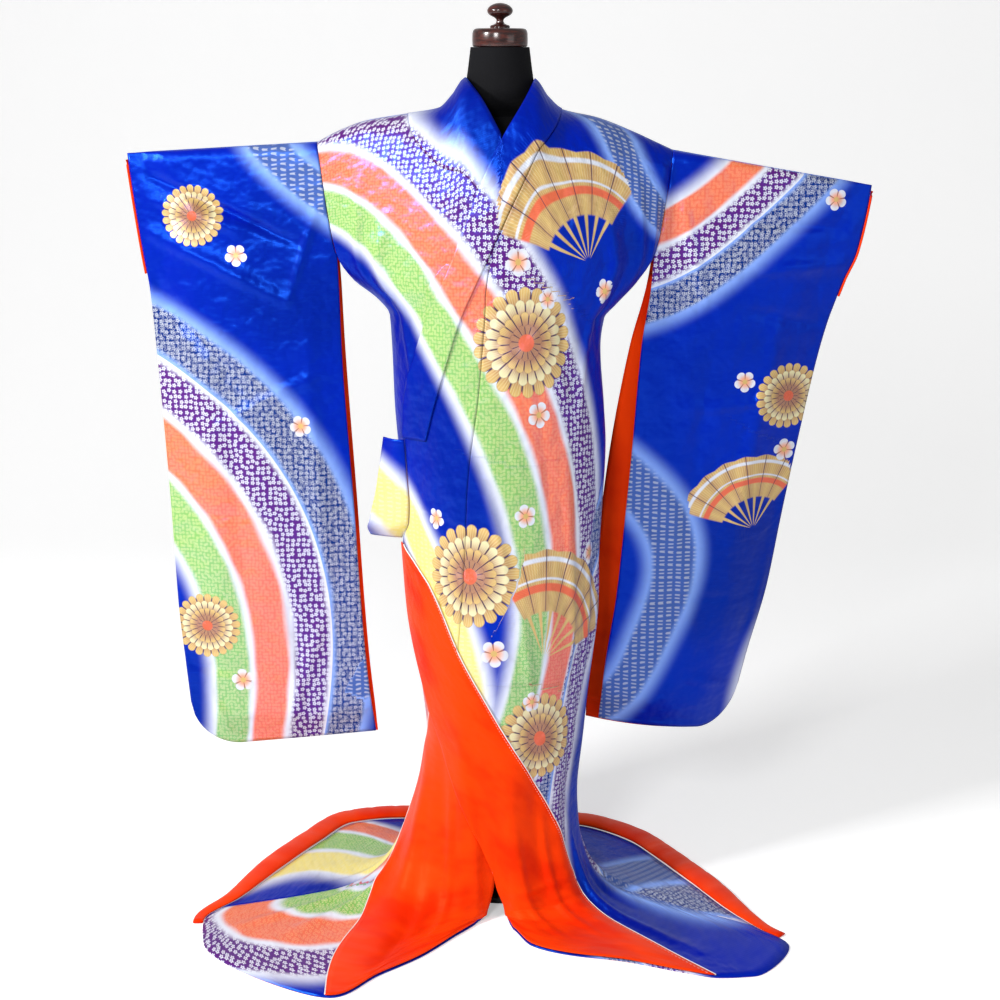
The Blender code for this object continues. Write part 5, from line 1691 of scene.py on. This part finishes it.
class KIMONO_OT_hip_fold(Operator):
    """Make the edge of the left front that is pulled out at the hip"""

    bl_idname = "kimono.hip_fold"
    bl_label = "Hip fold"

    def execute(self, context):
        look = looks()
        satin = context.scene.kimono_satin
        out, back, fold = Curve(HIP_PULL, "out"), Curve(HIP_PULL, "back"), Curve(LEFT_FOLD, "angle")

        def place(across, down):
            level = mixed(HIP_PULL[0].level, HIP_PULL[-1].level, down)
            share = 1.0 - across
            angle = fold(level)
            root = chart(angle, level, FRONT, front_layer(angle, level)) - Vector((HIP_CLEAR, 0.0, 0.0))
            swing = Vector((-out(level) * share, back(level) * share * share, 0.0))
            swing.y -= 0.003 * math.sin(share * 5.0 + down * 3.0) * share
            return root + swing, (HIP_FLAT - out(level) * share, level)

        cloth_sheet("cloth_hip_fold", "hip fold", place, [look["blue satin"], look["red lining"]],
                    satin.thickness, ("hip_fold",), "front")
        return {"FINISHED"}


class SleeveShape:
    """Both layers of one sleeve: a flat pouch that hangs from the shoulder."""

    def __init__(self, side_name, rows):
        self.side_name = side_name
        self.side = 1 if side_name == "left" else -1
        self.curves = columns(rows)
        self.ridge_end = ridge_height(self.side * half_width(SHOULDER, self.side))
        self.inner_top = self.ridge_end - SLEEVE_TOP_GAP

    def top(self, across):
        return mixed(self.inner_top, SLEEVE_TOP_OUTER[self.side_name], across)

    def bottom(self, across):
        bend = max((across - CORNER_START) / (1.0 - CORNER_START), 0.0)
        straight = mixed(SLEEVE_BOTTOM_INNER[self.side_name], SLEEVE_BOTTOM_OUTER[self.side_name], across)
        return straight + SLEEVE_CORNER * (1.0 - math.sqrt(max(1.0 - bend * bend, 0.0)))

    def side_level(self, z):
        """Level of the body's side at a height."""
        return UNDERARM + (z - UNDERARM) * (SHOULDER - UNDERARM) / (self.ridge_end - UNDERARM)

    def inner_edge(self, z, layer):
        """Inner edge: along the armhole it follows the body's side, below it hangs free."""
        if z > OKUMI_TOP:
            return half_width(min(self.side_level(z), SHOULDER), self.side) + ARMHOLE_CLEAR
        return self.curves[layer + "_inner"](z)

    def gap(self, across, z):
        """Half of the hollow between the layers."""
        if z > OKUMI_TOP:
            armhole = BODY_CURVES["gape"](self.side_level(z))
        else:
            armhole = SLEEVE_FURL + FURL_SWELL * ramp(z, *FURL_HEIGHTS)
        open_gap = mixed(armhole, SLEEVE_POUCH, ramp(across, *POUCH_ACROSS))
        side_seam = ramp(across, *SEAM_ACROSS)
        along = (SLEEVE_TOP_OUTER[self.side_name] - z) / WRIST_LENGTH
        if 0.0 < along < 1.0:
            side_seam = max(side_seam, math.sin(math.pi * along) ** WRIST_ROUND * WRIST_HALF / SLEEVE_POUCH)
        bottom = self.bottom(across)
        return mixed(SLEEVE_CLOSED, open_gap, side_seam * ramp(z, bottom, bottom + HEM_CLOSE))

    def crease(self, layer, across, reach, z):
        """Creases and unevenness of one layer, fading out at its borders."""
        lift = 0.0
        for row in SLEEVE_CREASES[self.side_name + "_" + layer]:
            run = Vector((row.end_reach - row.reach, row.end_height - row.height))
            here = Vector((reach - row.reach, z - row.height))
            t = here.dot(run) / run.length_squared
            if 0.0 < t < 1.0:
                away = (here - run * t).length / row.width
                if away < FOLD_REACH:
                    lift += row.depth * math.exp(-away * away) * math.sin(math.pi * t) ** FOLD_FADE
        place = Vector((self.side * reach * SLEEVE_RIPPLE.x, SLEEVE_RIPPLE.y, z * SLEEVE_RIPPLE.z))
        lift += noise.noise(place) * SLEEVE_RIPPLE_DEPTH
        top, bottom = self.top(across), self.bottom(across)
        fade = ramp(across, 0.0, 0.06) * ramp(across, 1.0, 0.94) * ramp(z, top, top - 0.03)
        return lift * fade * ramp(z, bottom, bottom + 0.02)

    def point(self, layer, across, down, creased=True, out=0.0):
        z = mixed(self.top(across), self.bottom(across), down)
        inner = self.inner_edge(z, layer)
        outer = self.curves["outer"](z)
        start, middle, end = (self.curves[name](z) for name in ("inner_y", "middle_y", "outer_y"))
        reach = mixed(inner, outer, across)
        root = self.inner_edge(z, "back")
        share = (reach - root) / (outer - root)
        belly = 4.0 * share * (1.0 - share)
        y = mixed(start, end, share) + (middle - (start + end) / 2) * belly
        face = -1 if layer == "front" else 1
        opened = (self.gap(across, z) - SLEEVE_CLOSED) * crest(self.top(across) - z)
        lift = self.crease(layer, across, reach, z) if creased else 0.0
        y += face * (SLEEVE_CLOSED + opened + lift + out)
        return Vector((self.side * reach, y, z))


class KIMONO_OT_sleeves(Operator):
    """Make the long sleeves, the lining along the open inner edge and the rolled wrist edges"""

    bl_idname = "kimono.sleeves"
    bl_label = "Sleeves"

    def execute(self, context):
        look = looks()
        satin = context.scene.kimono_satin
        for name, rows in (("right", SLEEVE_RIGHT), ("left", SLEEVE_LEFT)):
            shape = SleeveShape(name, rows)
            for layer in ("front", "back"):
                outward = (name == "left") == (layer == "front")

                def place(across, down, shape=shape, layer=layer, outward=outward):
                    share = across if outward else 1.0 - across
                    point = shape.point(layer, share, down**1.2)
                    return point, (point.x, point.z)

                cloth_sheet("cloth_sleeve_%s_%s" % (name, layer), "sleeve", place,
                            [look["blue satin"], look["red lining"]], satin.thickness,
                            ("sleeve_%s_%s" % (name, layer),), name + " sleeve")
            centre_y = shape.point("front", 1.0, 0.1, False).y
            downs = [mixed(*WRIST_DOWNS, i / WRIST_STEPS) for i in range(WRIST_STEPS + 1)]
            loop = [shape.point("front", 1.0, down, False) for down in downs]
            loop += [shape.point("back", 1.0, down, False) for down in reversed(downs)]
            away = shape.side * (CUFF_RADIUS + SEAM)
            loop = [point + Vector((away, (centre_y - point.y) * 0.04, 0.0)) for point in loop]
            tube("wrist_roll_" + name, loop, CUFF_RADIUS, 10, [look["red lining"]], closed=True,
                 replaces=("cuff_" + name,))
            if name == "left":

                def lining(across, down, shape=shape):
                    share = LINING_WIDTH * (1.0 - across)
                    down = mixed(*LINING_DOWNS, down)
                    point = shape.point("back", share, down, out=-satin.thickness - SEAM)
                    return point, (point.x, point.z)

                cloth_sheet("cloth_sleeve_lining", "sleeve lining", lining, [look["red lining"]],
                            satin.thickness, ("sleeve_left_lining",))
        return {"FINISHED"}


class KIMONO_OT_hem_rolls(Operator):
    """Make the padded red hem along the far edge of the train"""

    bl_idname = "kimono.hem_rolls"
    bl_label = "Padded hem"

    def execute(self, context):
        look = looks()
        lining = context.scene.kimono_lining
        for side, name in ((1, "left"), (-1, "right")):
            steps = round((180.0 - ROLL_START) / ROLL_STEP)
            angles = [side * (ROLL_START + ROLL_STEP * i) for i in range(steps + 1)]
            edge = []
            for angle in angles:
                half = FRONT if abs(angle) <= 90.0 else BACK
                edge.append(chart(angle if half is FRONT else angle % 360.0, HEM, half))
            path = []
            for i, point in enumerate(edge):
                before, after = edge[max(i - 1, 0)], edge[min(i + 1, len(edge) - 1)]
                if i == len(edge) - 1:
                    after = Vector((-before.x, before.y, before.z))
                along = (after - before).normalized()
                outward = along.cross(Vector((0.0, 0.0, 1.0))) * side
                size = mixed(ROLL_TIP, 1.0, ramp(i * ROLL_STEP, 0.0, ROLL_GROWTH))
                path.append(Vector((point.x, point.y, 0.0)) + outward * (lining.roll_width * size + SEAM))

            def plump(share, turn, aside, lining=lining, side=side, steps=steps):
                size = mixed(ROLL_TIP, 1.0, ramp(share * steps * ROLL_STEP, 0.0, ROLL_GROWTH))
                pull = 1.0 - 0.10 * max(math.sin(share * 96.0 + side), 0.0) ** 4
                wide = math.cos(turn) * lining.roll_width * size
                share_up = (max(math.sin(turn), -ROLL_FLAT) + ROLL_FLAT) / (1.0 + ROLL_FLAT)
                tall = share_up * lining.roll_height * size
                return aside * wide + Vector((0.0, 0.0, tall * pull + ROLL_CLEAR))

            roll = tube("padded_hem_" + name, path, 1.0, ROLL_SIDES, [look["red lining"]],
                        replaces=("hem_roll_" + name,), section=plump)
        return {"FINISHED"}


class KIMONO_OT_dress_form(Operator):
    """Make the black form, its wooden neck cap and finial, and its stand"""

    bl_idname = "kimono.dress_form"
    bl_label = "Dress form"

    def execute(self, context):
        look = looks()
        form = context.scene.kimono_form
        half_x, half_y = Curve(TORSO, "half_x"), Curve(TORSO, "half_y")
        bm = bmesh.new()
        bmesh.ops.create_grid(bm, x_segments=form.sides, y_segments=FORM_ROWS, size=0.5)
        for vert in bm.verts:
            turn = math.tau * (vert.co.x + 0.5)
            z = mixed(TORSO[0].z, TORSO[-1].z, vert.co.y + 0.5)
            vert.co = Vector((half_x(z) * math.cos(turn), half_y(z) * math.sin(turn), z))
        bmesh.ops.remove_doubles(bm, verts=bm.verts, dist=MERGE)
        bmesh.ops.holes_fill(bm, edges=[edge for edge in bm.edges if edge.is_boundary], sides=0)
        bmesh.ops.recalc_face_normals(bm, faces=bm.faces)
        torso = add_piece("form_cover", bm, [look["black jersey"]], ("form_torso",))
        torso.data.set_sharp_from_angle(angle=math.radians(50.0))
        turned_piece("wood_cap", CAP_PROFILE, look["lacquered wood"], ("neck_cap",))
        turned_piece("wood_finial", FINIAL_PROFILE, look["lacquered wood"], ("finial",))
        turned_piece("base_plate", BASE_PROFILE, look["black paint"], ("stand_base",))
        pole = bpy.data.objects["stand_pole"]
        pole.material_slots[0].material = look["black paint"]
        return {"FINISHED"}


def area_light(name, place, aim, size, power):
    lamp = bpy.data.lights.new(name, "AREA")
    lamp.shape = "SQUARE"
    lamp.size = size
    lamp.energy = power
    item = bpy.data.objects.new(name, lamp)
    item.location = place
    item.rotation_euler = (Vector(aim) - Vector(place)).to_track_quat("-Z", "Y").to_euler()
    bpy.context.collection.objects.link(item)


class KIMONO_OT_stage(Operator):
    """Set up the floor, the lights and the camera"""

    bl_idname = "kimono.stage"
    bl_label = "Stage"

    def execute(self, context):
        stage = context.scene.kimono_stage
        bm = bmesh.new()
        corners = [bm.verts.new((side * SWEEP_HALF, -SWEEP_HALF, 0.0)) for side in (-1, 1)]
        edge = bm.edges.new(corners)
        run = bmesh.ops.extrude_edge_only(bm, edges=[edge])["geom"]
        ends = [item for item in run if isinstance(item, bmesh.types.BMVert)]
        bmesh.ops.translate(bm, verts=ends, vec=(0.0, SWEEP_HALF + SWEEP_START, 0.0))
        lip = [item for item in run if isinstance(item, bmesh.types.BMEdge)]
        bend = bmesh.ops.spin(bm, geom=lip, cent=(0.0, SWEEP_START, SWEEP_BEND), axis=(1.0, 0.0, 0.0),
                              angle=math.radians(90.0), steps=32)["geom_last"]
        lip = [item for item in bend if isinstance(item, bmesh.types.BMEdge)]
        top = bmesh.ops.extrude_edge_only(bm, edges=lip)
        ends = [item for item in top["geom"] if isinstance(item, bmesh.types.BMVert)]
        bmesh.ops.translate(bm, verts=ends, vec=(0.0, 0.0, SWEEP_RISE))
        bmesh.ops.remove_doubles(bm, verts=bm.verts, dist=MERGE)
        bmesh.ops.recalc_face_normals(bm, faces=bm.faces)
        bmesh.ops.translate(bm, verts=bm.verts, vec=(0.0, 0.0, -0.0005))
        mesh = bpy.data.meshes.new("sweep")
        bm.to_mesh(mesh)
        bm.free()
        mesh.shade_smooth()
        mat, tree, shader = new_material("pale floor", Roughness=0.9, Specular_IOR_Level=0.1)
        tone = clouds(tree, object_place(tree), 2.0, dimensions="3D")
        darker = tuple(value * 0.98 for value in stage.floor)
        tree.links.new(blend(tree, tone, stage.floor, darker), shader.inputs["Base Color"])
        seen = add_node(tree, "ShaderNodeLightPath").outputs["Is Camera Ray"]
        shader.inputs["Emission Color"].default_value = (1.0, 1.0, 1.0, 1.0)
        tree.links.new(maths(tree, "MULTIPLY", seen, stage.glow), shader.inputs["Emission Strength"])
        mesh.materials.append(mat)
        sweep = bpy.data.objects.new("sweep", mesh)
        context.collection.objects.link(sweep)

        world = bpy.data.worlds.new("studio")
        context.scene.world = world
        world.use_nodes = True
        world.node_tree.nodes["Background"].inputs["Color"].default_value = (1.0, 1.0, 1.0, 1.0)
        world.node_tree.nodes["Background"].inputs["Strength"].default_value = stage.sky
        for row in LAMPS:
            area_light(row.name, (row.x, row.y, row.z), (0.0, 0.0, row.aim), row.size, row.power)

        lens = bpy.data.cameras.new("camera")
        lens.lens = stage.lens
        lens.sensor_width = 36.0
        lens.sensor_fit = "HORIZONTAL"
        camera = bpy.data.objects.new("camera", lens)
        camera.location = (0.0, -stage.distance, stage.height)
        camera.rotation_euler = (math.radians(90.0) - stage.tilt, 0.0, 0.0)
        context.collection.objects.link(camera)
        context.scene.camera = camera
        context.scene.view_settings.view_transform = "Standard"
        return {"FINISHED"}


class KIMONO_PT_sidebar(Panel):
    """Lists the pieces of the kimono"""

    bl_idname = "KIMONO_PT_sidebar"
    bl_label = "Wedding kimono"
    bl_space_type = "VIEW_3D"
    bl_region_type = "UI"
    bl_category = "Kimono"

    def draw(self, context):
        scene = context.scene
        for title, group in (("Satin", scene.kimono_satin), ("Lining", scene.kimono_lining),
                             ("Form", scene.kimono_form), ("Stage", scene.kimono_stage)):
            box = self.layout.box()
            box.label(text=title)
            for key in group.__annotations__:
                box.prop(group, key)
        for operator in OPERATORS:
            self.layout.operator(operator.bl_idname)


GROUPS = (
    ("kimono_satin", KimonoSatin),
    ("kimono_lining", KimonoLining),
    ("kimono_form", KimonoForm),
    ("kimono_stage", KimonoStage),
)
OPERATORS = (
    KIMONO_OT_dress_form,
    KIMONO_OT_back_panels,
    KIMONO_OT_front_panels,
    KIMONO_OT_collars,
    KIMONO_OT_turned_edges,
    KIMONO_OT_hip_fold,
    KIMONO_OT_sleeves,
    KIMONO_OT_hem_rolls,
    KIMONO_OT_stage,
)


def register():
    for name, group in GROUPS:
        bpy.utils.register_class(group)
        setattr(bpy.types.Scene, name, PointerProperty(type=group))
    for item in OPERATORS + (KIMONO_PT_sidebar,):
        bpy.utils.register_class(item)


def unregister():
    for item in reversed(OPERATORS + (KIMONO_PT_sidebar,)):
        bpy.utils.unregister_class(item)
    for name, group in reversed(GROUPS):
        delattr(bpy.types.Scene, name)
        bpy.utils.unregister_class(group)


def main():
    register()
    bpy.ops.kimono.dress_form()
    bpy.ops.kimono.back_panels()
    bpy.ops.kimono.front_panels()
    bpy.ops.kimono.collars()
    bpy.ops.kimono.turned_edges()
    bpy.ops.kimono.hip_fold()
    bpy.ops.kimono.sleeves()
    bpy.ops.kimono.hem_rolls()
    bpy.ops.kimono.stage()
    bpy.context.view_layer.update()


if __name__ == "__main__":
    main()
